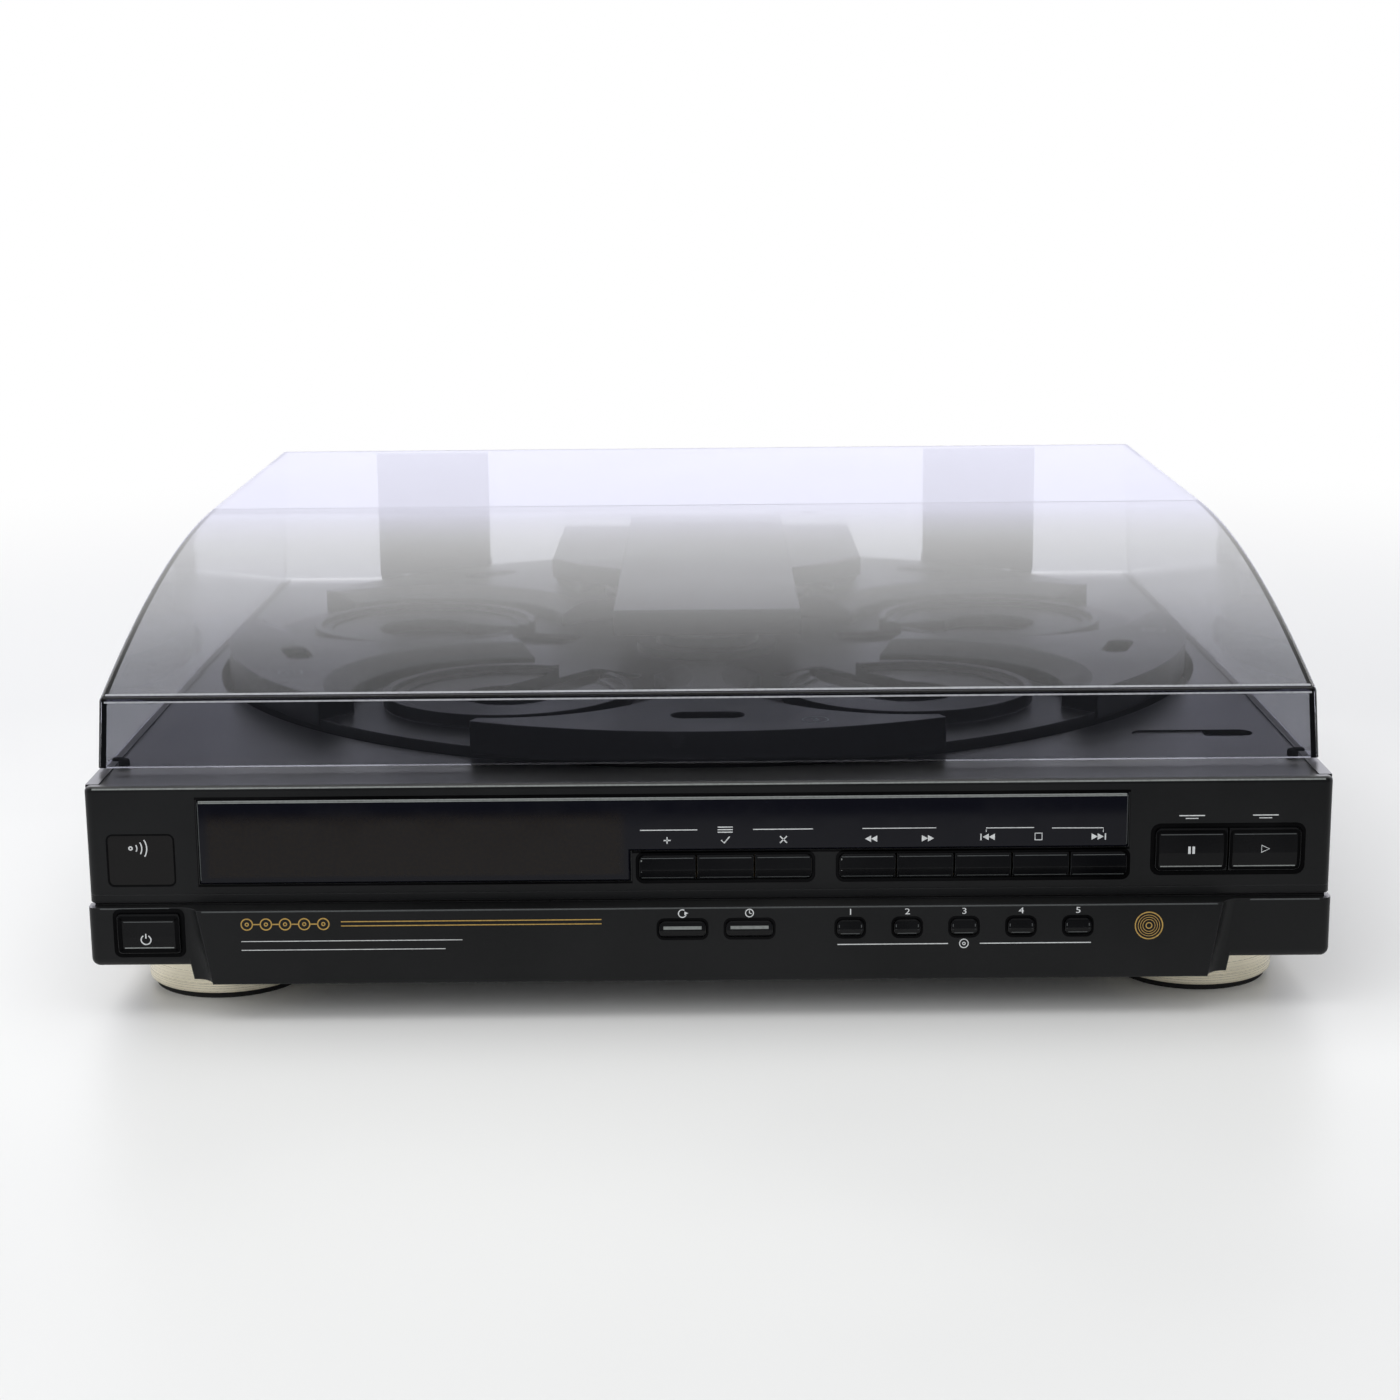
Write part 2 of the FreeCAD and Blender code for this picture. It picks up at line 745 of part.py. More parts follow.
# ================================================================ push buttons
def push_button(left, right, slot, face_y, crown, travel, switch_y):
    """Cap in its slot, a retaining flange behind the panel and a stem towards its switch."""
    slot_left, slot_right, bottom, top, corner = slot
    x0 = left + button_gap
    x1 = right - button_gap
    z0 = bottom + button_gap
    z1 = top - button_gap
    split = z0 + 0.42 * (z1 - z0)
    back = shell_front + face_clearance
    outline = [(face_y + crown, z0), (face_y, split), (face_y + 0.25 * crown, z1 - 0.5),
               (face_y + 0.25 * crown + 0.5, z1), (back, z1), (back, z0)]
    cap = prism_x(outline, x0, x1)
    round_slot = rounded_y(slot_left + button_gap, slot_right - button_gap, z0, z1, face_y - 1, back, corner)
    cap = cap.common(round_slot)
    flange = box(x0, x1, back, back + button_flange, z0 - 1.2, z1 + 1.2)
    stem = cyl_y(stem_radius, (x0 + x1) / 2, (z0 + z1) / 2, back, switch_y - travel - 0.1)
    return joined([cap, flange, stem])


def button_table():
    """Every push button: name to (left, right, slot, face, crown, travel)."""
    table = {}
    face = front_y - button_proud
    top = row_bottom + row_height
    for word, x0, x1, count in (("program", program_left, program_right, 3),
                                ("transport", transport_left, transport_right, 5)):
        slot = (x0, x1, row_bottom, top, slot_corner_radius)
        width = (x1 - x0) / count
        for index in range(count):
            x = x0 + index * width
            table["%s_button_%d" % (word, index + 1)] = (x, x + width, slot, face, 1.6, button_travel)
    middle = (play_left + play_right) / 2
    slot = (play_left, play_right, play_bottom, play_bottom + play_height, slot_corner_radius)
    table["pause_button"] = (play_left, middle, slot, face, 0.8, button_travel)
    table["play_button"] = (middle, play_right, slot, face, 0.8, button_travel)
    names = ["repeat_button", "time_button"] + ["disc_button_%d" % (index + 1) for index in range(wells)]
    for name, (x0, x1, z0, z1) in zip(names, slot_rows()):
        slot = (x0, x1, z0, z1, slot_corner_radius)
        table[name] = (x0, x1, slot, front_y - bulge_out, 1.2, button_travel)
    slot = (power_left, power_right, power_bottom, power_bottom + power_height, power_corner_radius)
    table["power_button"] = (power_left, power_right, slot, front_y - strip_forward - 1.5, 0.6, power_travel)
    return table


def push_buttons():
    made = {}
    for name, (x0, x1, slot, face, crown, travel) in button_table().items():
        switch_y = board_front - switch_height
        if name == "power_button":
            switch_y = power_switch_front()
        made[name] = push_button(x0, x1, slot, face, crown, travel, switch_y)
    return made


def power_switch_front():
    return shell_front + 12.0


def power_switch():
    middle = (power_left + power_right) / 2
    z = power_bottom + power_height / 2
    front = power_switch_front()
    side = power_switch_half_width
    body = box(middle - side, middle + side, front, front + power_switch_depth, pan_floor, z + 6)
    return joined([body])


def key_board():
    """Circuit board with a key switch behind each button, standing on the pan."""
    left = ir_left
    board = box(left, half_width - moulding_wall - 3, board_front, board_front + board_thickness,
                panel_bottom + 1.0, deck_z - moulding_wall - 2)
    lower = box(repeat_center - 20, disc_button_middle + 3 * disc_button_pitch, board_front,
                board_front + board_thickness, pan_floor, panel_bottom + 1.0)
    parts = [board, lower]
    for name, (x0, x1, slot, face, crown, travel) in button_table().items():
        if name == "power_button":
            continue
        x = (x0 + x1) / 2
        z = (slot[2] + slot[3]) / 2
        parts.append(box(x - 3, x + 3, board_front - switch_height, board_front, z - 3, z + 3))
    receiver_x = (ir_left + ir_right) / 2
    receiver_z = (ir_bottom + ir_top) / 2
    parts.append(box(receiver_x - 4, receiver_x + 4, shell_front + 1, board_front,
                     receiver_z - 4, receiver_z + 4))
    return joined(parts)


# ================================================================ carousel
def well_place(index):
    return polar(well_offset, 90.0 + index * 360.0 / wells)


def sector(radius, inner, middle_direction, half_angle, z0, z1):
    wedge = Part.makeCylinder(radius, z1 - z0, Vector(0, carousel_y, z0), Vector(0, 0, 1), 2 * half_angle)
    wedge = turned(wedge, middle_direction - half_angle, 0, carousel_y)
    return wedge.cut(cyl(inner, 0, carousel_y, z0 - 1, z1 + 1))


def keyhole(margin, z0, z1):
    """Opening of the well at the play position, for turntable and laser sled."""
    half = keyhole_slot_width / 2 + margin
    eye = cyl(keyhole_radius + margin, 0, play_y, z0, z1)
    slot = rounded_z(-half, half, play_y - keyhole_slot_length - margin, play_y, z0, z1, 4.0)
    return eye.fuse(slot)


def well_steps():
    """Rib that carries a large disc, and the lower seat of a small disc, with its keyhole."""
    x, y = well_place(0)
    rib_top = plate_top + rib_height
    rib = cyl(rib_outer_radius, x, y, plate_z, rib_top)
    rib = rib.cut(cyl(rib_inner_radius, x, y, rib_top - rib_step, rib_top + 1))
    seat = rib_top - rib_step - small_disc_step
    rib = rib.cut(cyl(small_disc_radius, x, y, seat, rib_top))
    pocket = cyl(rib_inner_radius, x, y, plate_z - 1, seat - lobe_wall)
    return rib.cut(pocket.cut(keyhole(lobe_wall, plate_z - 2, seat + 1)))


def well_guide():
    x, y = well_place(0)
    straight = cyl(guide_bottom_radius, x, y, plate_top, lobe_top - guide_depth + 0.01)
    flare = cone(guide_bottom_radius, guide_top_radius, x, y, lobe_top - guide_depth, lobe_top + 0.001)
    return joined([straight, flare])


def lobe_block():
    direction = 90.0 + 180.0 / wells
    block = sector(lobe_radius, lobe_inner_radius, direction, lobe_half_angle, plate_z, lobe_top)
    hollow = sector(lobe_radius - lobe_wall, lobe_inner_radius + lobe_wall, direction,
                    lobe_half_angle - 1.0, plate_z - 1, lobe_top - lobe_wall)
    for index in (0, 1):
        x, y = well_place(index)
        hollow = hollow.cut(cyl(guide_top_radius + lobe_wall, x, y, plate_z - 2, lobe_top))
    return block.cut(hollow), hollow


def finger_slot():
    direction = 90.0 + 180.0 / wells
    slot = rounded_z(finger_slot_offset - finger_slot_width / 2, finger_slot_offset + finger_slot_width / 2,
                     carousel_y - finger_slot_length / 2, carousel_y + finger_slot_length / 2,
                     lobe_top - lobe_wall - 1, lobe_top + 1, finger_slot_corner)
    return turned(slot, direction, 0, carousel_y)


def carousel():
    step = 360.0 / wells
    plate = cyl(plate_radius, 0, carousel_y, plate_z, plate_top)
    skirt = cyl(plate_radius, 0, carousel_y, plate_z - skirt_height, plate_z)
    skirt = skirt.cut(cyl(plate_radius - lobe_wall, 0, carousel_y, plate_z - skirt_height - 1, plate_z + 1))
    lobe, hollow = lobe_block()
    hollows = [turned(hollow, step * index, 0, carousel_y) for index in range(wells)]
    guides = [turned(well_guide(), step * index, 0, carousel_y) for index in range(wells)]
    lobes = [turned(lobe, step * index, 0, carousel_y) for index in range(wells)]
    body = joined([plate.cut(group(hollows)), skirt] + lobes)
    body = body.cut(group(guides))
    ribs = [turned(well_steps(), step * index, 0, carousel_y) for index in range(wells)]
    bore = cyl(rib_inner_radius, *well_place(0), plate_z - 1, plate_top + 1)
    under = [turned(bore, step * index, 0, carousel_y) for index in range(wells)]
    body = body.cut(group(under))
    hub = cyl(hub_radius, 0, carousel_y, plate_z - 2, plate_top + hub_height)
    cap = cyl(hub_cap_radius, 0, carousel_y, plate_z, plate_top + hub_cap_height)
    gear_ring = carousel_gear()
    body = joined([body, hub, cap, gear_ring] + ribs)
    eye = keyhole(0.0, plate_z - 2, lobe_top + 1)
    cuts = [turned(eye, step * index, 0, carousel_y) for index in range(wells)]
    cuts += [turned(finger_slot(), step * index, 0, carousel_y) for index in range(wells)]
    body = body.cut(group(cuts))
    bearing = cyl(post_radius + running_clearance, 0, carousel_y, floor_z, lobe_top + 20)
    return body.cut(bearing)


def carousel_gear():
    """Gear ring and bearing tube under the carousel's plate."""
    ring = gear(ring_teeth, ring_module, 0, carousel_y, drive_direction, carousel_gear_z(), plate_z)
    ring = ring.cut(cyl(ring_pitch_radius - 5.0, 0, carousel_y, floor_z, plate_z))
    tube = cyl(post_radius + 4.0, 0, carousel_y, post_shoulder_top() + 0.2, plate_z)
    return joined([ring, tube, cyl(ring_pitch_radius, 0, carousel_y, plate_z - 0.5, plate_z)])


def carousel_gear_z():
    return floor_z + 3.0


def post_shoulder_top():
    return floor_z + 1.5


def carousel_post():
    """Fixed post: base on the chassis, shoulder under the hub, top under the bridge."""
    base = cyl(post_shoulder_radius + 5, 0, carousel_y, chassis_top, chassis_top + 4)
    shoulder = cyl(post_shoulder_radius, 0, carousel_y, chassis_top, post_shoulder_top())
    shaft = cyl(post_radius, 0, carousel_y, chassis_top, bridge_z)
    return joined([base, shoulder, shaft])


# ================================================================ gear train of the carousel
def drive_gear():
    low_z = wheel_z
    wheel = gear(drive_wheel_teeth, train_module, drive_x, drive_y, motor_direction,
                 low_z, low_z + gear_width)
    toward = drive_direction + 180.0 + 180.0 / drive_pinion_teeth
    pinion = gear(drive_pinion_teeth, ring_module, drive_x, drive_y, toward,
                  carousel_gear_z() - 0.5, plate_z - 1.0)
    tube = cyl(axle_radius + 3.0, drive_x, drive_y, low_z, plate_z - 1.0)
    body = joined([wheel, pinion, tube])
    return body.cut(cyl(axle_radius + running_clearance, drive_x, drive_y, low_z - 1, plate_z))


def motor_pinion():
    toward = motor_direction + 180.0 + 180.0 / motor_pinion_teeth
    return pinion_on_shaft(carousel_motor_x, carousel_motor_y, toward)


def loading_pinion():
    return pinion_on_shaft(loading_motor_x, loading_y, 180.0 + 180.0 / motor_pinion_teeth)


def pinion_on_shaft(x, y, tooth_direction):
    pinion = gear(motor_pinion_teeth, train_module, x, y, tooth_direction, wheel_z, wheel_z + gear_width)
    shaft = cyl(axle_radius, x, y, chassis_top - chassis_thickness - 4.0, wheel_z + gear_width)
    return joined([pinion, shaft])


def drive_motors():
    """The two motors under the chassis plate: carousel motor and loading motor."""
    motors = []
    top = chassis_top - chassis_thickness
    for x, y in ((carousel_motor_x, carousel_motor_y), (loading_motor_x, loading_y)):
        motor = cyl(motor_radius, x, y, top - motor_height, top)
        motors.append(motor.cut(cyl(axle_radius + running_clearance, x, y, top - 5.0, top + 1)))
    return group(motors)


# ================================================================ chassis
def chassis_outline():
    left = -frame_half_width - 20.0
    right = loading_motor_x + motor_radius + 4.0
    front = carousel_motor_y - motor_radius - 6.0
    rear = play_y + frame_rear + 14.0
    return left, right, front, rear


def mech_chassis():
    left, right, front, rear = chassis_outline()
    low = chassis_top - chassis_thickness
    plate = rounded_z(left, right, front, rear, low, chassis_top, 8.0)
    legs = []
    for x in (left + 7, right - 7):
        for y in (front + 7, (front + rear) / 2, rear - 7):
            legs.append(cyl(4.5, x, y, pan_floor, low + 0.5))
    rails = []
    rail_front = play_y - slider_pin_front - slider_travel - 14.0
    for x in (slider_x - 2.2, slider_outer + 0.2):
        rails.append(box(x, x + 2.0, rail_front, rear - 6, chassis_top - 0.5, chassis_top + 1.6))
    axles = [cyl(axle_radius, drive_x, drive_y, low, plate_z - 1.0),
             cyl(axle_radius, loading_x, loading_y, low, wheel_z + gear_width + 1.0)]
    body = joined([plate] + legs + rails + axles)
    holes = [cyl(axle_radius + 1.5, carousel_motor_x, carousel_motor_y, low - 1, chassis_top + 1),
             cyl(axle_radius + 1.5, loading_motor_x, loading_y, low - 1, chassis_top + 1)]
    return body.cut(group(holes))


def post_places():
    return [(side * guide_post_side, play_y + dy)
            for side in (-1, 1) for dy in (-guide_post_front, guide_post_rear)]


def guide_posts():
    return group([cyl(guide_post_radius, x, y, chassis_top, floor_bottom) for x, y in post_places()])


def slider_pin_places():
    return (play_y - slider_pin_front, play_y - slider_pin_rear)


def slider_slot(pin_y):
    """Slanted slot: the pin rises by the lift travel while the slider moves forward."""
    radius = slider_pin_radius + slider_slot_clearance
    run = Vector(0, slider_travel, lift_travel)
    start = cyl_x(radius, pin_y, slider_pin_z, slider_x - 1, slider_outer + 1)
    end = cyl_x(radius, pin_y + run.y, slider_pin_z + run.z, slider_x - 1, slider_outer + 1)
    side = Vector(0, -run.z, run.y)
    side.normalize()
    dy = side.y * radius
    dz = side.z * radius
    corners = [(pin_y + dy, slider_pin_z + dz), (pin_y - dy, slider_pin_z - dz),
               (pin_y + run.y - dy, slider_pin_z + run.z - dz),
               (pin_y + run.y + dy, slider_pin_z + run.z + dz)]
    middle = prism_x(corners, slider_x - 1, slider_outer + 1)
    return [start, end, middle]


def cam_slider():
    """Upright plate with two slanted slots and a rack along its foot."""
    front = play_y - slider_pin_front - 8.0
    rear = play_y - slider_pin_rear + slider_travel + 8.0
    top = slider_pin_z + lift_travel + slider_pin_radius + 2.4
    plate = box(slider_x, slider_outer, front, rear, chassis_top + 0.3, min(top, floor_bottom - 0.5))
    cuts = []
    for pin_y in slider_pin_places():
        cuts += slider_slot(pin_y)
    plate = plate.cut(cuts[0].multiFuse(cuts[1:]))
    foot_z = chassis_top + 1.9
    teeth = rack(rack_line, 1, slider_outer - 0.5, loading_y - 8.0, loading_y + slider_travel + 8.0,
                 loading_y, train_module, foot_z, foot_z + 2.8)
    return joined([plate, teeth])


def loading_gear():
    body = gear(loading_gear_teeth, train_module, loading_x, loading_y, 180.0, wheel_z, wheel_z + gear_width)
    return body.cut(cyl(axle_radius + running_clearance, loading_x, loading_y,
                        wheel_z - 1, wheel_z + gear_width + 1))


# ================================================================ optical drive
def pickup_frame():
    half = frame_half_width
    front = play_y - frame_front
    rear = play_y + frame_rear
    plate = box(-half, half, front, rear, frame_under, frame_top)
    skirt = box(-half, half, front, rear, frame_bottom, frame_under + 0.5)
    skirt = skirt.cut(box(-half + frame_wall, half - frame_wall, front + frame_wall, rear - frame_wall,
                          frame_bottom - 1, frame_under + 1))
    parts = [plate, skirt]
    bush = guide_post_radius + frame_wall
    for x, y in post_places():
        parts.append(cyl(bush, x, y, frame_bottom, frame_top))
    for side in (-1, 1):
        x = side * rod_offset
        lug = box(x - 2.2, x + 3.0, play_y + 9.5, play_y + 12.5, rod_z - 3.0, frame_under + 0.5)
        if side < 0:
            lug = box(x - 3.0, x + 2.2, play_y + 9.5, play_y + 12.5, rod_z - 3.0, frame_under + 0.5)
        parts.append(lug)
    for pin_y in slider_pin_places():
        parts.append(cyl_x(slider_pin_radius, pin_y, slider_pin_z, half - 0.5, slider_outer + 0.8))
    body = joined(parts)
    window = box(-sled_half_width - 4, sled_half_width + 4,
                 front + 3, play_y - sled_start + sled_half_length + 2.0,
                 frame_under - 1, frame_top + 1)
    cuts = [window, cyl(4.0, 0, play_y, frame_under - 1, frame_top + 1)]
    for x, y in post_places():
        cuts.append(cyl(guide_post_radius + running_clearance, x, y, frame_bottom - 1, frame_top + 1))
    for side in (-1, 1):
        cuts.append(cyl_y(rod_radius + 0.02, side * rod_offset, rod_z, front + 0.5, play_y + 12.0))
    return body.cut(group(cuts))


def guide_rods():
    rods = []
    for side in (-1, 1):
        rods.append(cyl_y(rod_radius, side * rod_offset, rod_z, play_y - frame_front + 0.5, play_y + 12.0))
    return group(rods)


def spindle_motor():
    body = cyl(spindle_motor_radius, 0, play_y, frame_under - spindle_motor_height, frame_under)
    collar = cyl(3.6, 0, play_y, frame_under, frame_top + 0.6)
    motor = joined([body, collar])
    bore = cyl(spindle_radius + running_clearance, 0, play_y,
               frame_under - spindle_motor_height + 1.0, frame_top + 2)
    return motor.cut(bore)


def turntable():
    platter = cyl(platter_radius, 0, play_y, platter_top - platter_thickness, platter_top)
    boss = cyl(4.5, 0, play_y, platter_top - platter_thickness - 5.0, platter_top)
    nose = cone(cone_radius, cone_radius - 1.6, 0, play_y, platter_top, platter_top + cone_height)
    shaft = cyl(spindle_radius, 0, play_y, frame_under - spindle_motor_height + 1.4, platter_top)
    return joined([platter, boss, nose, shaft])


def sled():
    """Laser pickup: low body on the two rods, turret with the lens ring, rack on its left."""
    y = play_y - sled_start
    low = frame_top - 14.0
    body = box(-sled_half_width, sled_half_width, y - sled_half_length, y + sled_half_length,
               low, frame_top - 2.0)
    turret = rounded_z(-turret_half_width, turret_half_width, y - sled_half_length, y + sled_half_length,
                       frame_top - 2.5, platter_top - 2.2, 1.5)
    lens_ring = cyl(4.6, 0, y, platter_top - 2.7, platter_top - 1.2)
    arm = box(-sled_half_width - 1.6, -sled_half_width + 1.0,
              sled_gear_y - 2.0, sled_gear_y + sled_travel + 2.5,
              sled_gear_z, sled_gear_z + 3.4)
    teeth = rack(sled_rack_line, -1, -sled_half_width - 1.0,
                 sled_gear_y - 2.0, sled_gear_y + sled_travel + 2.5,
                 sled_gear_y, sled_module, sled_gear_z, sled_gear_z + 3.4)
    drop = box(-sled_half_width, -sled_half_width + 3.0, y - sled_half_length, y + sled_half_length,
               sled_gear_z, low + 0.5)
    shape = joined([body, turret, lens_ring, arm, teeth, drop])
    cuts = [cyl(3.6, 0, y, platter_top - 2.2, platter_top)]
    for side in (-1, 1):
        cuts.append(cyl_y(rod_radius + running_clearance, side * rod_offset, rod_z,
                          y - sled_half_length - 1, y + sled_half_length + 1))
    return shape.cut(group(cuts))


def sled_motor():
    motor = cyl(8.5, sled_gear_x, sled_gear_y, sled_gear_z + 5.0, frame_under)
    return motor.cut(cyl(1.0 + running_clearance, sled_gear_x, sled_gear_y, sled_gear_z, sled_gear_z + 9.0))


def sled_gear():
    wheel = gear(sled_gear_teeth, sled_module, sled_gear_x, sled_gear_y, 0.0, sled_gear_z, sled_gear_z + 3.4)
    shaft = cyl(1.0, sled_gear_x, sled_gear_y, sled_gear_z, sled_gear_z + 8.5)
    return joined([wheel, shaft])


def puck_z():
    return platter_top + lift_travel + disc_thickness


def clamper_puck():
    low = puck_z()
    shelf = bridge_z + bridge_wall + 0.2
    plug = cyl(clamper_radius, 0, play_y, low, shelf + 0.5)
    flange = cyl(clamper_flange_radius, 0, play_y, shelf, low + clamper_height)
    body = joined([plug, flange])
    return body.cut(cyl(cone_radius + 0.5, 0, play_y, low - 1, low + 3.0))


# ================================================================ bridge over the rear well
def bridge_outline(inset):
    half = bridge_half_width - inset
    cover = bridge_cover_half_width - inset
    radius = bridge_cover_radius - inset
    front = carousel_y - bridge_front + inset
    rear = rear_y - bridge_rear_gap - inset
    meet_y = play_y - math.sqrt(radius ** 2 - half ** 2)
    side_y = play_y - math.sqrt(radius ** 2 - cover ** 2)
    middle_x = (half + cover) / 2
    middle_y = play_y - math.sqrt(radius ** 2 - middle_x ** 2)

    def at(x, y):
        return Vector(x, y, 0)

    edges = [Part.LineSegment(at(-half, front), at(half, front)).toShape(),
             Part.LineSegment(at(half, front), at(half, meet_y)).toShape(),
             Part.Arc(at(half, meet_y), at(middle_x, middle_y), at(cover, side_y)).toShape(),
             Part.LineSegment(at(cover, side_y), at(cover, rear)).toShape(),
             Part.LineSegment(at(cover, rear), at(-cover, rear)).toShape(),
             Part.LineSegment(at(-cover, rear), at(-cover, side_y)).toShape(),
             Part.Arc(at(-cover, side_y), at(-middle_x, middle_y), at(-half, meet_y)).toShape(),
             Part.LineSegment(at(-half, meet_y), at(-half, front)).toShape()]
    return Part.Face(Part.Wire(edges))


def bridge_slab(inset, z0, z1):
    face = bridge_outline(inset)
    face.translate(Vector(0, 0, z0))
    return face.extrude(Vector(0, 0, z1 - z0))


def bridge_beam(inset, z0, z1):
    half = bridge_half_width - inset
    front = carousel_y - bridge_front + inset
    return box(-half, half, front, rear_y - bridge_rear_gap - inset, z0, z1)


def bridge_housing():
    cover_top = bridge_top - bridge_ridge
    shell = joined([bridge_slab(0, bridge_z, cover_top), bridge_beam(0, bridge_z, bridge_top)])
    beam_rim = [edge for edge in shell.Edges if edge.BoundBox.ZMin > bridge_top - 0.01]
    shell = shell.makeFillet(bridge_edge_radius, beam_rim)
    cover_rim = [edge for edge in shell.Edges
                 if abs(edge.BoundBox.Center.z - cover_top) < 0.01 and edge.BoundBox.ZLength < 0.01
                 and edge.BoundBox.Center.x ** 2 > (bridge_half_width + 0.1) ** 2]
    shell = shell.makeFillet(bridge_edge_radius, cover_rim)
    inside = bridge_slab(bridge_wall, bridge_z + bridge_wall, cover_top - bridge_wall)
    beam_inside = bridge_beam(bridge_wall, bridge_z + bridge_wall, bridge_top - bridge_wall)
    shell = shell.cut(joined([inside, beam_inside]))
    shell = shell.cut(cyl(clamper_radius + 0.7, 0, play_y, bridge_z - 1, bridge_z + bridge_wall + 1))
    rear = rear_y - bridge_rear_gap
    leg = box(bridge_cover_half_width - bridge_leg_width, bridge_cover_half_width,
              rear - bridge_leg_depth, rear,
              deck_z, bridge_z + 1)
    return joined([shell, leg, mirrored(leg)])


# ================================================================ lid
def lid_profile(inset):
    """Side outline of the lid in Y and Z as a face at X = 0, moved inward by inset."""
    top = lid_top - inset
    front = lid_front + inset
    rear = lid_rear - inset
    bottom = lid_bottom - (1.0 if inset else 0.0)
    skirt_lean = lid_skirt_lean * (lid_skirt_height - inset) / lid_skirt_height
    flat_y = lid_front + lid_flat_start
    crease = Vector(0, front + skirt_lean, lid_bottom + lid_skirt_height - 0.4 * inset)
    flat = Vector(0, flat_y, top)
    fall = top - crease.z
    run = flat_y - crease.y
    radius = (run ** 2 + fall ** 2) / (2 * fall)
    half_run = run / 2
    middle = Vector(0, flat_y - half_run, top - radius + math.sqrt(radius ** 2 - half_run ** 2))
    lower_front = Vector(0, front, bottom)
    rear_top = Vector(0, rear, top)
    rear_bottom = Vector(0, rear, bottom)
    edges = [Part.LineSegment(lower_front, crease).toShape(),
             Part.Arc(crease, middle, flat).toShape(),
             Part.LineSegment(flat, rear_top).toShape(),
             Part.LineSegment(rear_top, rear_bottom).toShape(),
             Part.LineSegment(rear_bottom, lower_front).toShape()]
    return Part.Face(Part.Wire(edges))


def lid_block(inset):
    face = lid_profile(inset)
    face.translate(Vector(-half_width, 0, 0))
    block = face.extrude(Vector(body_width, 0, 0))
    low = lid_bottom - 1.0
    high = lid_top + 1.0
    lean = lid_draft / lid_height
    half_low = lid_half_bottom - inset + lean
    half_high = lid_half_bottom - inset - lid_draft - lean
    taper = prism_y([(-half_low, low), (half_low, low), (half_high, high), (-half_high, high)],
                    front_y - 50, rear_y + 50)
    return block.common(taper)


def upper_edges(shape, low):
    return [edge for edge in shape.Edges if edge.BoundBox.ZMin > low]


def lid():
    outer = lid_block(0)
    creases = [edge for edge in outer.Edges
                   if edge.BoundBox.YMax < lid_front + lid_skirt_lean + 0.1
            and edge.BoundBox.ZMin > lid_bottom + 5]
    outer = outer.makeFillet(lid_crease_radius, creases)
    upright = [edge for edge in outer.Edges
               if edge.BoundBox.YMax < lid_front + lid_skirt_lean + 0.1 and edge.BoundBox.XLength < 3
               and edge.BoundBox.ZLength > 10]
    sides = [edge for edge in outer.Edges
             if edge.BoundBox.ZMin > lid_bottom + lid_skirt_height / 2 and edge.BoundBox.YLength > 0.3]
    rear = [edge for edge in outer.Edges
            if edge.BoundBox.YMin > lid_rear - 0.1 and edge.BoundBox.ZMin > lid_bottom + 5]
    outer = outer.makeFillet(lid_edge_radius, upright + sides + rear)
    return outer.cut(lid_block(lid_wall))


def lid_bumpers():
    x = half_width - rim_width - bumper_radius - face_clearance
    y = lid_front + bumper_setback
    high = lid_bottom + bumper_height
    wall_x = lid_half_bottom - lid_wall - lid_draft * bumper_height / lid_height - 0.1
    pad = cyl(bumper_radius, x, y, deck_z, high)
    tab = box(x, wall_x, y - 1.5, y + 1.5, lid_bottom + 1.0, high)
    bumper = joined([pad, tab])
    return group([bumper, mirrored(bumper)])


# ================================================================ hinges
def knuckle_span():
    return hinge_inner + hinge_ear_width + 0.5, hinge_outer - hinge_ear_width - 0.5


def hinge_leaves():
    x0, x1 = knuckle_span()
    low = lid_bottom + 1.0
    plate = box(hinge_inner, hinge_outer, lid_rear, lid_rear + hinge_leaf_thickness,
                low, low + hinge_leaf_height)
    knuckle = cyl_x(hinge_knuckle_radius, hinge_y, hinge_z, x0, x1)
    web = box(x0, x1, lid_rear + 0.5, hinge_y, hinge_z - 2.5, hinge_z + hinge_knuckle_radius)
    leaf = joined([plate, knuckle, web])
    leaf = leaf.cut(cyl_x(hinge_pin_radius + running_clearance, hinge_y, hinge_z, x0 - 1, x1 + 1))
    return group([leaf, mirrored(leaf)])


def hinge_bases():
    low = hinge_z - hinge_base_drop
    top = hinge_z - hinge_base_clearance
    plate = box(hinge_inner, hinge_outer, rear_y, rear_y + hinge_base_thickness, low, top)
    parts = [plate]
    for x in (hinge_inner, hinge_outer - hinge_ear_width):
        ear = cyl_x(hinge_knuckle_radius, hinge_y, hinge_z, x, x + hinge_ear_width)
        stalk = box(x, x + hinge_ear_width, hinge_y - hinge_knuckle_radius, hinge_y + hinge_knuckle_radius,
                    top - 0.5, hinge_z)
        root = prism_x([(rear_y, low), (hinge_y + hinge_knuckle_radius, top - hinge_base_clearance),
                        (hinge_y + hinge_knuckle_radius, top), (rear_y, top)],
                       x, x + hinge_ear_width)
        parts += [ear, stalk, root]
    base = joined(parts)
    base = base.cut(cyl_x(hinge_pin_radius + 0.02, hinge_y, hinge_z, hinge_inner + 1.0, hinge_outer - 1.0))
    return group([base, mirrored(base)])


def hinge_pins():
    pin = cyl_x(hinge_pin_radius, hinge_y, hinge_z, hinge_inner + 1.0, hinge_outer - 1.0)
    return group([pin, mirrored(pin)])


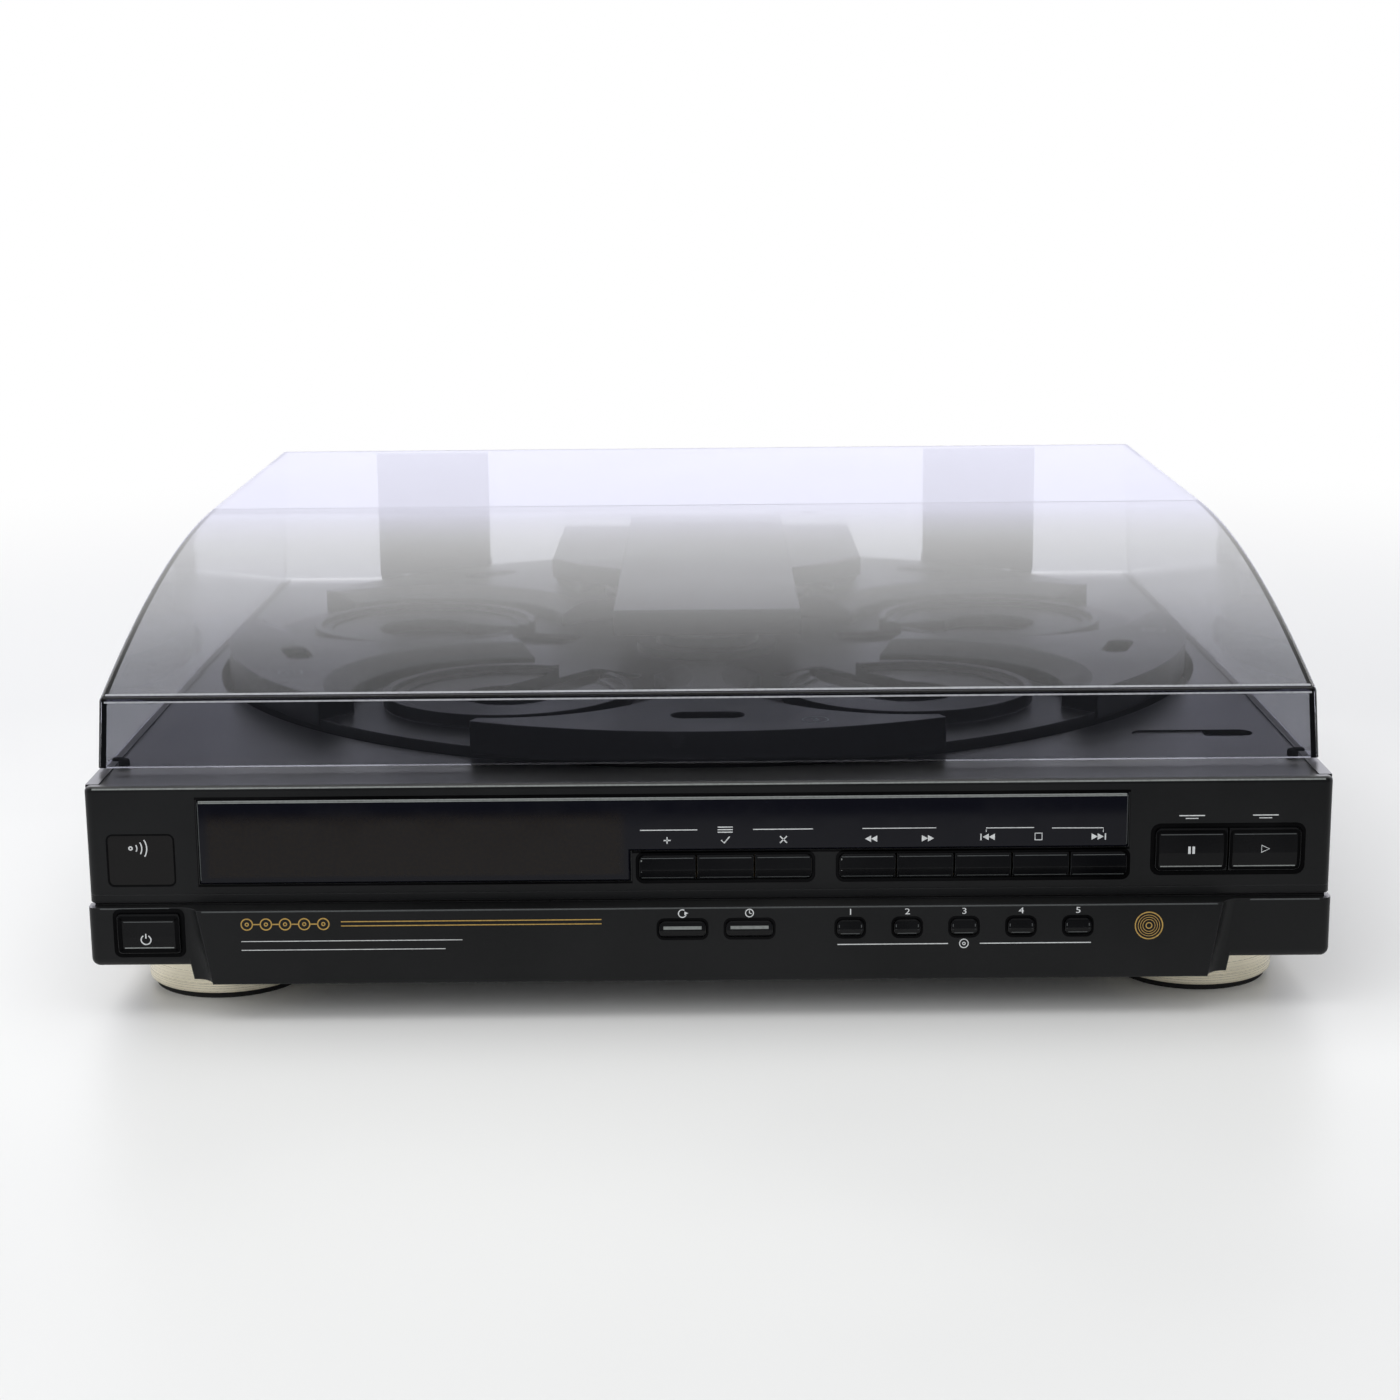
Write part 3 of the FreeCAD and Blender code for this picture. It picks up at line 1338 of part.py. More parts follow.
# ================================================================ electronics
def main_board():
    z = pan_floor + main_board_height
    left = -half_width + groove_depth + main_board_inset
    right = -frame_half_width - main_board_side_gap
    front = front_y + main_board_setback
    rear = rear_y - main_board_setback
    board = box(left, right, front, rear, z, z + board_thickness)
    parts = [board]
    for x in (left + 6, right - 6):
        for y in (front + 6, rear - 6):
            parts.append(cyl(3.0, x, y, pan_floor, z + 0.5))
    for index in range(4):
        x = left + 22.0 + 26.0 * index
        parts.append(cyl(6.0, x, rear - 30.0, z, z + 20.0))
    parts.append(box(left + 30, left + 58, front + 60, front + 88, z, z + 4.5))
    parts.append(box(left + 80, left + 104, front + 70, front + 90, z, z + 4.5))
    return joined(parts)


def transformer():
    x = half_width - transformer_inset
    y = rear_y - transformer_setback
    half = transformer_size / 2
    core_half = transformer_core_depth / 2
    coil_half = transformer_coil_depth / 2
    top = pan_floor + transformer_height
    core = box(x - half, x + half, y - core_half, y + core_half, pan_floor, top)
    coil = box(x - half + 10, x + half - 10, y - coil_half, y + coil_half, pan_floor + 6, top - 6)
    return joined([core, coil])


def screws():
    """Screw heads: rear panel, pan underside and carousel post base."""
    heads = []
    outer = half_width - rear_screw_inset
    for x in (-outer, -rear_screw_half_pitch, rear_screw_half_pitch, outer):
        head = cyl_y(screw_head_radius, x, floor_bottom - 5.0, rear_y, rear_y + screw_head_height)
        heads.append(head)
    for degrees in (45.0, 165.0, 285.0):
        x, y = polar(post_shoulder_radius + 2.6, degrees)
        heads.append(cyl(2.2, x, y, chassis_top + 4.0, chassis_top + 5.6))
    side = half_width - pan_screw_inset
    for x in (-side, side):
        for y in (front_y + pan_screw_setback, rear_y - pan_screw_setback):
            heads.append(cyl(screw_head_radius, x, y, pan_bottom - screw_head_height, pan_bottom))
    return group(heads)


# ================================================================ write every piece
def all_parts():
    makers = [bottom_pan, cabinet_top, front_bezel, lower_strip, display_window, display_tube,
              ir_window, key_board, main_board, transformer, rear_panel, audio_jacks, ac_inlet,
              power_switch, bridge_housing, mech_chassis, carousel_post, drive_motors, screws,
              foot_rings, foot_pads, guide_posts, deck_slot_cover, hinge_bases, hinge_pins,
              lid, lid_bumpers, hinge_leaves, carousel, drive_gear, motor_pinion, cam_slider,
              loading_gear, loading_pinion, pickup_frame, spindle_motor, turntable, guide_rods,
              sled, sled_motor, sled_gear, clamper_puck]
    made = {maker.__name__: maker() for maker in makers}
    made.update(push_buttons())
    return made


os.makedirs("parts", exist_ok=True)
for name, shape in all_parts().items():
    shape.exportStep("parts/%s.step" % name)
    print("%-20s %2d solids, valid %s, %.1f mm3" % (name, len(shape.Solids), shape.isValid(), shape.Volume))
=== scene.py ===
# %% [markdown]
# This lesson dresses a five disc changer: a low charcoal cabinet, a smoked lid on two rear
# hinges, and a round carousel under it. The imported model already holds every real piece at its
# real size, so Blender adds what only Blender can: camera, light, finishes, printed marks,
# turned feet and cross head screws. Everything is in metres, in the model's own frame.

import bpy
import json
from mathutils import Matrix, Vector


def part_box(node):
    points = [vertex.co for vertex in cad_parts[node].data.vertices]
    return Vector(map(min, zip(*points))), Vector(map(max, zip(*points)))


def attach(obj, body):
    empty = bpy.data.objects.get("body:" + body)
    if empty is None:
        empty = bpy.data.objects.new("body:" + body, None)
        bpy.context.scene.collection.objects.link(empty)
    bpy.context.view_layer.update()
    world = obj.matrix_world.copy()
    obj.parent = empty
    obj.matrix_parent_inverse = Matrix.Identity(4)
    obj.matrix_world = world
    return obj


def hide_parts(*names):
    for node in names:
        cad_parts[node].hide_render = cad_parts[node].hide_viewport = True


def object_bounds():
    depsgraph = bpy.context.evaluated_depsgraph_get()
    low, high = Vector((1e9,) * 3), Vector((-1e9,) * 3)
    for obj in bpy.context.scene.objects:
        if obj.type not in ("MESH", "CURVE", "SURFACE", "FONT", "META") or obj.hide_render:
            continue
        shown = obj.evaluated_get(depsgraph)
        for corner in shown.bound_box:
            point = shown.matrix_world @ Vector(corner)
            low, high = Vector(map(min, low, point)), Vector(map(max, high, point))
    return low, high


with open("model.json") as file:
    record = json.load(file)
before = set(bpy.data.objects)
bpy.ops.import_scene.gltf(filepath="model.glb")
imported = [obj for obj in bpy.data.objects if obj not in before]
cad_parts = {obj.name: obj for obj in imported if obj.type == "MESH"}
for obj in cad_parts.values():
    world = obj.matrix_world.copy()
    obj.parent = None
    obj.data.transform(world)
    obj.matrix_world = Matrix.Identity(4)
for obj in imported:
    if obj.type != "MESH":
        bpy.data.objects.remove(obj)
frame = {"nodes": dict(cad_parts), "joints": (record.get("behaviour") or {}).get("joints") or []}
cad_bounds = [list(corner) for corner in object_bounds()]
print("the packed model spans", cad_bounds)

# %% [markdown]
# Blender's own modules do the rest: bpy for the scene, bmesh for shapes that are built corner by
# corner, and a ray tree that tells where a printed mark meets a surface.

# %% Tools of the lesson
import json
import math

import bmesh
import bpy
from mathutils import Matrix, Vector
from mathutils.bvhtree import BVHTree

MM = 0.001
scene = bpy.context.scene

# %% [markdown]
# The camera looks slightly down at the front panel from a little over a metre. A long lens keeps
# the cabinet's sides nearly parallel. The view is stated as three small angles, and the matrix is
# built from its own forward, right and up directions, so nothing depends on a tracking target.

# %% Camera
camera_place = Vector((0.0002, -1.081975, 0.305330))
camera_yaw, camera_pitch, camera_roll = -0.00319, 0.22108, -0.0095
focal_in_pixels, frame_in_pixels, sensor_width = 2600.0, 1400.0, 36.0


def camera_matrix(place, yaw, pitch, roll):
    ahead = Vector((math.sin(yaw) * math.cos(pitch), math.cos(yaw) * math.cos(pitch), -math.sin(pitch)))
    level = Vector((math.cos(yaw), -math.sin(yaw), 0.0))
    above = level.cross(ahead)
    right = math.cos(roll) * level + math.sin(roll) * above
    up = math.cos(roll) * above - math.sin(roll) * level
    turn = Matrix((right, up, -ahead)).transposed().to_4x4()
    return Matrix.Translation(place) @ turn


lens = bpy.data.cameras.new("camera")
lens.sensor_width = sensor_width
lens.lens = focal_in_pixels / frame_in_pixels * sensor_width
lens.clip_start = 0.05
camera = bpy.data.objects.new("camera", lens)
scene.collection.objects.link(camera)
camera.matrix_world = camera_matrix(camera_place, camera_yaw, camera_pitch, camera_roll)
scene.camera = camera
scene.view_settings.view_transform = "Standard"
print("lens", round(lens.lens, 2), "mm")

# %% [markdown]
# Materials, the world and the shader groups are all node trees. One helper adds a node, sets its
# options and fills its inputs: a plain value is stored, and another node's socket is linked.

# %% Node helper


def add(tree, kind, inputs=None, **settings):
    made = tree.nodes.new(kind)
    for name, value in settings.items():
        setattr(made, name, value)
    for key, value in (inputs or {}).items():
        socket = made.inputs[key]
        if isinstance(value, bpy.types.NodeSocket):
            tree.links.new(value, socket)
        else:
            socket.default_value = value
    return made


def maths(tree, operation, first, second=0.0, clamp=False):
    made = add(tree, "ShaderNodeMath", {0: first, 1: second}, operation=operation, use_clamp=clamp)
    return made.outputs[0]


def times(tree, first, second):
    return maths(tree, "MULTIPLY", first, second)


def plus(tree, first, second, clamp=False):
    return maths(tree, "ADD", first, second, clamp)


def minus(tree, first, second, clamp=False):
    return maths(tree, "SUBTRACT", first, second, clamp)


def ramp(tree, value, low, high, start=0.0, end=1.0):
    """value moved smoothly from start to end as it goes from low to high."""
    made = add(tree, "ShaderNodeMapRange",
               {"Value": value, "From Min": low, "From Max": high, "To Min": start, "To Max": end},
               interpolation_type="SMOOTHSTEP")
    return made.outputs["Result"]


def blend_values(tree, factor, first, second):
    made = add(tree, "ShaderNodeMix", {"Factor": factor, 2: first, 3: second}, data_type="FLOAT")
    return made.outputs[0]


def blend_colours(tree, factor, first, second):
    made = add(tree, "ShaderNodeMix", {"Factor": factor, 6: first, 7: second}, data_type="RGBA")
    return made.outputs[2]


def rgba(red, green, blue):
    return (red, green, blue, 1.0)


def grey(level):
    return rgba(level, level, level)


def own_place(tree):
    """The place on the piece, in metres from the frame's origin."""
    return add(tree, "ShaderNodeTexCoord").outputs["Object"]


def axes(tree, vector):
    return add(tree, "ShaderNodeSeparateXYZ", {0: vector}).outputs


def noise(tree, place, per_metre, detail):
    made = add(tree, "ShaderNodeTexNoise", {"Vector": place, "Scale": per_metre, "Detail": detail})
    return made.outputs["Fac"]


def bumps(tree, strength, distance, height):
    made = add(tree, "ShaderNodeBump", {"Strength": strength, "Distance": distance, "Height": height})
    return made.outputs[0]


# %% [markdown]
# The set is a white room. What the camera and clear plastic see of it is plain white. What shiny
# surfaces mirror is a white wall behind the object, a dimmer ceiling and a dim room in front, so
# the lid fades to white at its flat top while the front panel stays dark. An image of a studio
# could do this too, but ramps over the direction can be set one by one.

# %% World
diffuse_light = 0.62
wall_light = 1.60
ceiling_light = 0.30
overhead_light, overhead_front = 1.45, 0.55
room_left, room_right = 0.18, 0.04
wall_tint = rgba(0.90, 0.90, 1.04)
side_fade, front_fade = (-0.6, 0.4), (-0.30, 0.30)
ceiling_from, overhead_from = (0.54, 0.77), (0.82, 0.93)
overhead_fade, tint_to = (-0.06, 0.12), (0.15, 0.42)


def build_world():
    world = bpy.data.worlds.new("white_room")
    world.use_nodes = True
    tree = world.node_tree
    tree.nodes.clear()
    direction = add(tree, "ShaderNodeTexCoord").outputs["Generated"]
    parts = axes(tree, direction)
    path = add(tree, "ShaderNodeLightPath")
    room = ramp(tree, parts["X"], *side_fade, room_left, room_right)
    wall = blend_values(tree, ramp(tree, parts["Y"], *front_fade), room, wall_light)
    ceiling = ramp(tree, parts["Z"], *ceiling_from)
    mirrored = blend_values(tree, ceiling, wall, ceiling_light)
    overhead = ramp(tree, parts["Z"], *overhead_from)
    lamp = ramp(tree, parts["Y"], *overhead_fade, overhead_front, overhead_light)
    mirrored = blend_values(tree, overhead, mirrored, lamp)
    low_wall = ramp(tree, parts["Z"], *tint_to, 1.0, 0.0)
    tint = blend_colours(tree, times(tree, low_wall, path.outputs["Is Glossy Ray"]),
                         grey(1.0), wall_tint)
    unlit = minus(tree, 1.0, path.outputs["Diffuse Depth"], clamp=True)
    through = times(tree, path.outputs["Is Transmission Ray"], unlit)
    strength = blend_values(tree, path.outputs["Is Glossy Ray"], diffuse_light, mirrored)
    strength = blend_values(tree, through, strength, 1.0)
    strength = blend_values(tree, path.outputs["Is Camera Ray"], strength, 1.0)
    sky = add(tree, "ShaderNodeBackground", {"Color": tint, "Strength": strength})
    add(tree, "ShaderNodeOutputWorld", {"Surface": sky.outputs[0]})
    return world


scene.world = build_world()
print("a white wall of strength", wall_light, "and a ceiling of", ceiling_light)

# %% [markdown]
# Three large soft boxes give the shadows of a bright studio: one overhead, one far behind and one in
# front at the left. They are hidden from mirrors and from the camera, so that what the glossy parts
# reflect comes from the room alone and can be set by itself.

# %% Lamps


def soft_box(name, place, target, size, watts):
    lamp = bpy.data.lights.new(name, "AREA")
    lamp.shape = "RECTANGLE"
    lamp.size, lamp.size_y = size
    lamp.energy = watts
    holder = bpy.data.objects.new(name, lamp)
    scene.collection.objects.link(holder)
    holder.location = place
    holder.rotation_mode = "QUATERNION"
    holder.rotation_quaternion = (Vector(target) - Vector(place)).to_track_quat("-Z", "Y")
    for ray in ("camera", "transmission", "glossy"):
        setattr(holder, "visible_" + ray, False)


soft_box("ceiling_box", place=(-0.4, -0.1, 1.8), target=(0.0, -0.1, 0.05), size=(2.2, 2.2), watts=16.0)
soft_box("wall_box", place=(-0.3, 2.4, 1.4), target=(0.0, 0.0, 0.1), size=(4.4, 1.5), watts=4.0)
soft_box("front_box", place=(-0.8, -1.7, 0.9), target=(0.0, -0.2, 0.0), size=(1.8, 1.2), watts=11.0)

# %% [markdown]
# The table is a pale sheet that only fades to white far away. Near the object its paint is painted
# paler, painted light that lifts the shade round the object. It is a wide disc, so it looks the
# same from every side. Mirrors see it end a short way in front, as a real table does, and that
# dark edge is what the glossy window shows along its top.

# %% Table
table_radius = 9.0
table_front_edge, edge_blur = -0.475, 0.01
pale_lift_range, table_to_white = (0.28, 0.50), (0.45, 1.25)
lifted_paint, plain_far_paint, table_gloss = rgba(0.90, 0.905, 0.90), rgba(0.78, 0.785, 0.785), 0.42
dim_room = rgba(0.12, 0.125, 0.145)


def table_finish():
    paint = bpy.data.materials.new("table_paint")
    paint.use_nodes = True
    tree = paint.node_tree
    tree.nodes.clear()
    place = own_place(tree)
    distance = add(tree, "ShaderNodeVectorMath", {0: place}, operation="LENGTH").outputs["Value"]
    cloud = noise(tree, place, 3.0, 3.0)
    # Up to about 0.3 m from the middle the paint is painted paler, painted light against the shade round the
    # object. It fades to the plain paint by 0.5 m, and noise makes that edge wander.
    lift_distance = plus(tree, distance, ramp(tree, cloud, 0.35, 0.65, -0.03, 0.03))
    colour = blend_colours(tree, ramp(tree, lift_distance, *pale_lift_range), lifted_paint, plain_far_paint)
    sheet = add(tree, "ShaderNodeBsdfPrincipled", {"Base Color": colour, "Roughness": table_gloss})
    white = add(tree, "ShaderNodeEmission", {"Color": grey(1.0)})
    dark = add(tree, "ShaderNodeEmission", {"Color": dim_room})
    path = add(tree, "ShaderNodeLightPath")
    far = ramp(tree, distance, *table_to_white)
    seen = maths(tree, "MAXIMUM", path.outputs["Is Camera Ray"], path.outputs["Is Transmission Ray"])
    faded = add(tree, "ShaderNodeMixShader",
                {0: times(tree, far, seen), 1: sheet.outputs[0], 2: white.outputs[0]})
    forward = axes(tree, place)["Y"]
    beyond = ramp(tree, forward, table_front_edge - edge_blur, table_front_edge + edge_blur, 1.0, 0.0)
    mirrored = times(tree, beyond, path.outputs["Is Glossy Ray"])
    ended = add(tree, "ShaderNodeMixShader", {0: mirrored, 1: faded.outputs[0], 2: dark.outputs[0]})
    add(tree, "ShaderNodeOutputMaterial", {"Surface": ended.outputs[0]})
    return paint


def table_disc():
    mesh = bpy.data.meshes.new("table")
    shape = bmesh.new()
    bmesh.ops.create_circle(shape, cap_ends=True, segments=96, radius=table_radius)
    shape.to_mesh(mesh)
    shape.free()
    mesh.materials.append(table_finish())
    disc = bpy.data.objects.new("table", mesh)
    scene.collection.objects.link(disc)
    return disc


table_disc()
print("a table of", table_radius, "m that mirrors see end at y =", table_front_edge)

# %% [markdown]
# Moulded black plastic is never one flat colour. The mould is spark eroded, so the skin has a fine
# grain and the gloss wanders a little; corners get a painted highlight, strongest on down facing
# edges. These effects are shader groups, built once and placed in each material with its own values.

# %% Shader groups


def group(name, inputs, outputs):
    """A shader group with named float, vector or colour sockets, and its inside nodes."""
    tree = bpy.data.node_groups.new(name, "ShaderNodeTree")
    for label, kind, value in inputs:
        socket = tree.interface.new_socket(label, in_out="INPUT", socket_type=kind)
        socket.default_value = value
    for label, kind in outputs:
        tree.interface.new_socket(label, in_out="OUTPUT", socket_type=kind)
    entry = tree.nodes.new("NodeGroupInput")
    leaving = tree.nodes.new("NodeGroupOutput")
    return tree, entry.outputs, leaving.inputs


FLOAT, COLOUR, VECTOR = "NodeSocketFloat", "NodeSocketColor", "NodeSocketVector"
clouds_per_metre, cloud_band = 17.0, (0.3, 0.7)
# The second tone is the colour of the painted highlight on corners.
handled_tone, corner_highlight_tone = rgba(0.022, 0.0225, 0.024), rgba(0.16, 0.165, 0.17)


def skin_group():
    """Grain, wandering gloss and a painted highlight on corners."""
    tree, given, result = group(
        "moulded_skin",
        [("Colour", COLOUR, grey(0.02)), ("Grain per metre", FLOAT, 2400.0),
         ("Grain depth", FLOAT, 0.15), ("Roughness", FLOAT, 0.45), ("Corner", FLOAT, 0.0006),
         ("Corner shine", FLOAT, 0.5), ("Undersides", FLOAT, 0.0)],
        [("Colour", COLOUR), ("Roughness", FLOAT), ("Normal", VECTOR)])
    place = own_place(tree)
    grain = noise(tree, place, given["Grain per metre"], 2.0)
    cloud = noise(tree, place, clouds_per_metre, 4.0)
    soft = add(tree, "ShaderNodeBevel", {"Radius": given["Corner"]}, samples=6)
    flat = add(tree, "ShaderNodeNewGeometry").outputs["True Normal"]
    facing = add(tree, "ShaderNodeVectorMath", {0: soft.outputs[0], 1: flat}, operation="DOT_PRODUCT")
    corner = ramp(tree, facing.outputs["Value"], 0.75, 0.99, 1.0, 0.0)
    # This is the painted highlight on corners. With Undersides it is strongest where an edge faces down, as a
    # painted reflection of the bright table.
    rise = axes(tree, soft.outputs[0])["Z"]
    low_edges = ramp(tree, rise, -0.5, 0.3, 1.0, 0.15)
    corner = times(tree, corner, blend_values(tree, given["Undersides"], 1.0, low_edges))
    shine = times(tree, corner, given["Corner shine"])
    patchy = blend_colours(tree, ramp(tree, cloud, *cloud_band, 0.0, 0.22), given["Colour"], handled_tone)
    highlighted = blend_colours(tree, times(tree, shine, 0.45), patchy, corner_highlight_tone)
    tree.links.new(highlighted, result["Colour"])
    rough = plus(tree, given["Roughness"], ramp(tree, cloud, *cloud_band, -0.05, 0.05))
    rough = minus(tree, rough, times(tree, shine, 0.15), clamp=True)
    tree.links.new(rough, result["Roughness"])
    bump = add(tree, "ShaderNodeBump", {"Strength": given["Grain depth"], "Distance": 0.0002,
                                        "Height": grain, "Normal": soft.outputs[0]})
    tree.links.new(bump.outputs[0], result["Normal"])
    return tree


def upward_group():
    """How level a face is, as a mask."""
    tree, given, result = group("looks_up", [("Amount", FLOAT, 1.0)], [("Mask", FLOAT)])
    parts = axes(tree, add(tree, "ShaderNodeNewGeometry").outputs["Normal"])
    level = ramp(tree, parts["Z"], 0.55, 0.95)
    tree.links.new(times(tree, level, given["Amount"]), result["Mask"])
    return tree


def dust_group():
    """Fine dust that settles on faces that look up, as a mask."""
    tree, given, result = group("settled_dust", [("Amount", FLOAT, 0.3), ("Specks per metre", FLOAT, 500.0)],
                                [("Mask", FLOAT)])
    place = own_place(tree)
    upward = axes(tree, add(tree, "ShaderNodeNewGeometry").outputs["Normal"])
    level = ramp(tree, upward["Z"], 0.35, 0.9)
    film = add(tree, "ShaderNodeTexNoise", {"Vector": place, "Scale": 9.0, "Detail": 5.0, "Roughness": 0.6})
    specks = add(tree, "ShaderNodeTexVoronoi", {"Vector": place, "Scale": given["Specks per metre"]})
    grains = ramp(tree, specks.outputs["Distance"], 0.05, 0.16, 1.0, 0.0)
    layer = times(tree, ramp(tree, film.outputs["Fac"], 0.35, 0.75, 0.15, 1.0), 0.35)
    layer = plus(tree, layer, times(tree, grains, 0.5), clamp=True)
    amount = times(tree, times(tree, layer, level), given["Amount"])
    tree.links.new(amount, result["Mask"])
    return tree


moulded_skin = skin_group()
looks_up = upward_group()
settled_dust = dust_group()
dust_colour = rgba(0.42, 0.42, 0.41)
print("shader groups:", [item.name for item in bpy.data.node_groups])

# %% [markdown]
# A finish is one material: the Principled shader with its plain numbers, and the groups that vary
# its colour, gloss and normal over the surface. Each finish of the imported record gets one, under
# the same name, so a node finds its finish by the slot that it was packed with.

# %% Plastics
finishes = {}


def finish_tree(name):
    made = bpy.data.materials.new(name + "_finish")
    made.use_nodes = True
    tree = made.node_tree
    finishes[name] = made
    return tree, tree.nodes["Principled BSDF"]


def plug(tree, shader, **sockets):
    for name, value in sockets.items():
        socket = shader.inputs[name.replace("_", " ")]
        if isinstance(value, bpy.types.NodeSocket):
            tree.links.new(value, socket)
        else:
            socket.default_value = value


def place_group(tree, inner, **inputs):
    made = tree.nodes.new("ShaderNodeGroup")
    made.node_tree = inner
    for name, value in inputs.items():
        made.inputs[name.replace("_", " ")].default_value = value
    return made.outputs


def plastic(name, colour, roughness, grain=2400.0, depth=0.15, dust=0.0, corner=0.0006, shine=0.5,
            specular=0.27, handled=0.0, undersides=0.0):
    tree, shader = finish_tree(name)
    if handled:
        level = place_group(tree, looks_up, Amount=handled)["Mask"]
        plug(tree, shader, Coat_Weight=level, Coat_Roughness=0.30)
    skin = place_group(tree, moulded_skin, Colour=rgba(*colour), Grain_per_metre=grain, Grain_depth=depth,
                       Roughness=roughness, Corner=corner, Corner_shine=shine, Undersides=undersides)
    tone, rough = skin["Colour"], skin["Roughness"]
    if dust:
        mask = place_group(tree, settled_dust, Amount=dust)["Mask"]
        tone = blend_colours(tree, mask, tone, dust_colour)
        rough = plus(tree, rough, times(tree, mask, 0.4), clamp=True)
    plug(tree, shader, Base_Color=tone, Roughness=rough, Normal=skin["Normal"], Specular_IOR_Level=specular)
    return finishes[name]


plastic("charcoal_plastic", (0.0060, 0.0064, 0.0069), 0.42, dust=0.10, specular=0.21, handled=0.9)
plastic("carousel_plastic", (0.0120, 0.0126, 0.0150), 0.38, dust=0.16, corner=0.0009, shine=1.0, handled=0.35)
plastic("hinge_plastic", (0.0090, 0.0090, 0.0095), 0.50, dust=0.10)
# The keys' undersides value puts their painted corner highlight mostly on edges that face down.
plastic("button_plastic", (0.0012, 0.0013, 0.0018), 0.19, grain=3600.0, depth=0.05, corner=0.00040, shine=1.0,
        specular=0.15, undersides=1.0)
plastic("black_rubber", (0.0120, 0.0120, 0.0120), 0.85, grain=1500.0, depth=0.35, dust=0.15, shine=0.1)
plastic("chassis_plastic", (0.0200, 0.0205, 0.0220), 0.50, dust=0.10)
plastic("gear_plastic", (0.74, 0.71, 0.62), 0.42, grain=1800.0, depth=0.08, shine=0.2)
plastic("turntable_plastic", (0.0280, 0.0280, 0.0300), 0.38, dust=0.05)
plastic("switch_plastic", (0.0160, 0.0160, 0.0165), 0.45)
# A near black for the painted shade in the gaps and recesses round the keys and the window.
plastic("gap_shade_black", (0.0006, 0.0006, 0.0008), 0.85, depth=0.05, shine=0.0, specular=0.05)
plastic("jack_red", (0.42, 0.012, 0.010), 0.35, shine=0.2, specular=0.5)
plastic("jack_white", (0.72, 0.71, 0.68), 0.35, shine=0.1, specular=0.5)
print("plastics:", sorted(finishes))

# %% [markdown]
# Glossy black acrylic is polished, so it needs no grain. It does need the slow ripple of a moulded
# sheet, because a mirror that is perfectly flat looks like a hole. Behind the window's left part
# lies the display, which shows as a faint warm patch.

# %% Gloss black and display glass
ripple_height = 0.00004
window_low, window_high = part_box("display_window")
display_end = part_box("display_tube")[1].x
acrylic = rgba(0.0030, 0.0032, 0.0062)
display_tone = rgba(0.0085, 0.0062, 0.0050)
receiver_tone = rgba(0.0042, 0.0038, 0.0040)


def gloss_black():
    tree, shader = finish_tree("gloss_black")
    place = own_place(tree)
    parts = axes(tree, place)
    edge = 0.0015
    left = ramp(tree, parts["X"], window_low.x + edge, window_low.x + 3 * edge)
    right = ramp(tree, parts["X"], display_end + 9 * edge, display_end + 6 * edge)
    low = ramp(tree, parts["Z"], window_low.z + edge, window_low.z + 2 * edge)
    high = ramp(tree, parts["Z"], window_high.z - 2 * edge, window_high.z - 6 * edge)
    clear = times(tree, times(tree, left, right), times(tree, low, high))
    mesh = noise(tree, place, 900.0, 2.0)
    glow = times(tree, clear, ramp(tree, mesh, 0.35, 0.65, 0.6, 1.0))
    colour = blend_colours(tree, glow, acrylic, display_tone)
    receiver_side = ramp(tree, parts["X"], window_low.x - 3 * edge, window_low.x - 2 * edge, 1.0, 0.0)
    colour = blend_colours(tree, receiver_side, colour, receiver_tone)
    wave = noise(tree, place, 14.0, 1.0)
    dirt = noise(tree, place, 60.0, 4.0)
    plug(tree, shader, Base_Color=colour, Roughness=ramp(tree, dirt, 0.4, 0.7, 0.05, 0.11),
         Normal=bumps(tree, 1.0, ripple_height, wave), Specular_IOR_Level=0.2)


def display_glass():
    tree, shader = finish_tree("display_glass")
    place = own_place(tree)
    dots = add(tree, "ShaderNodeTexVoronoi", {"Vector": place, "Scale": 700.0})
    colour = blend_colours(tree, dots.outputs["Distance"], rgba(0.02, 0.03, 0.03), rgba(0.05, 0.06, 0.06))
    plug(tree, shader, Base_Color=colour, Roughness=0.08, Specular_IOR_Level=0.6)


gloss_black()
display_glass()
print("the display ends at x =", round(display_end, 4))

# %% [markdown]
# The lid is one moulding of smoked styrene, 2.6 mm thick. The imported solid has both of its skins, so
# real refraction works: light is tinted where it goes in and where it comes out, edges collect it,
# and the surface mirrors the wall more and more as it turns away. Hairline scratches and a little
# dust are only in the gloss. A mask darkens the tint in a band at the crease above the skirt, as
# painted shade for the dark middle of the bend.

# %% Smoked lid
smoke = rgba(0.62, 0.625, 0.66)
lid_index = 1.49
lid_low, lid_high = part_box("lid")
crease_rise, crease_below, crease_above, crease_blur = 0.0246, 0.00110, 0.00055, 0.0001
crease_front = (0.0050, 0.0055)
crease_shade_tone = rgba(0.020, 0.020, 0.040)
crease_z = lid_low.z + crease_rise


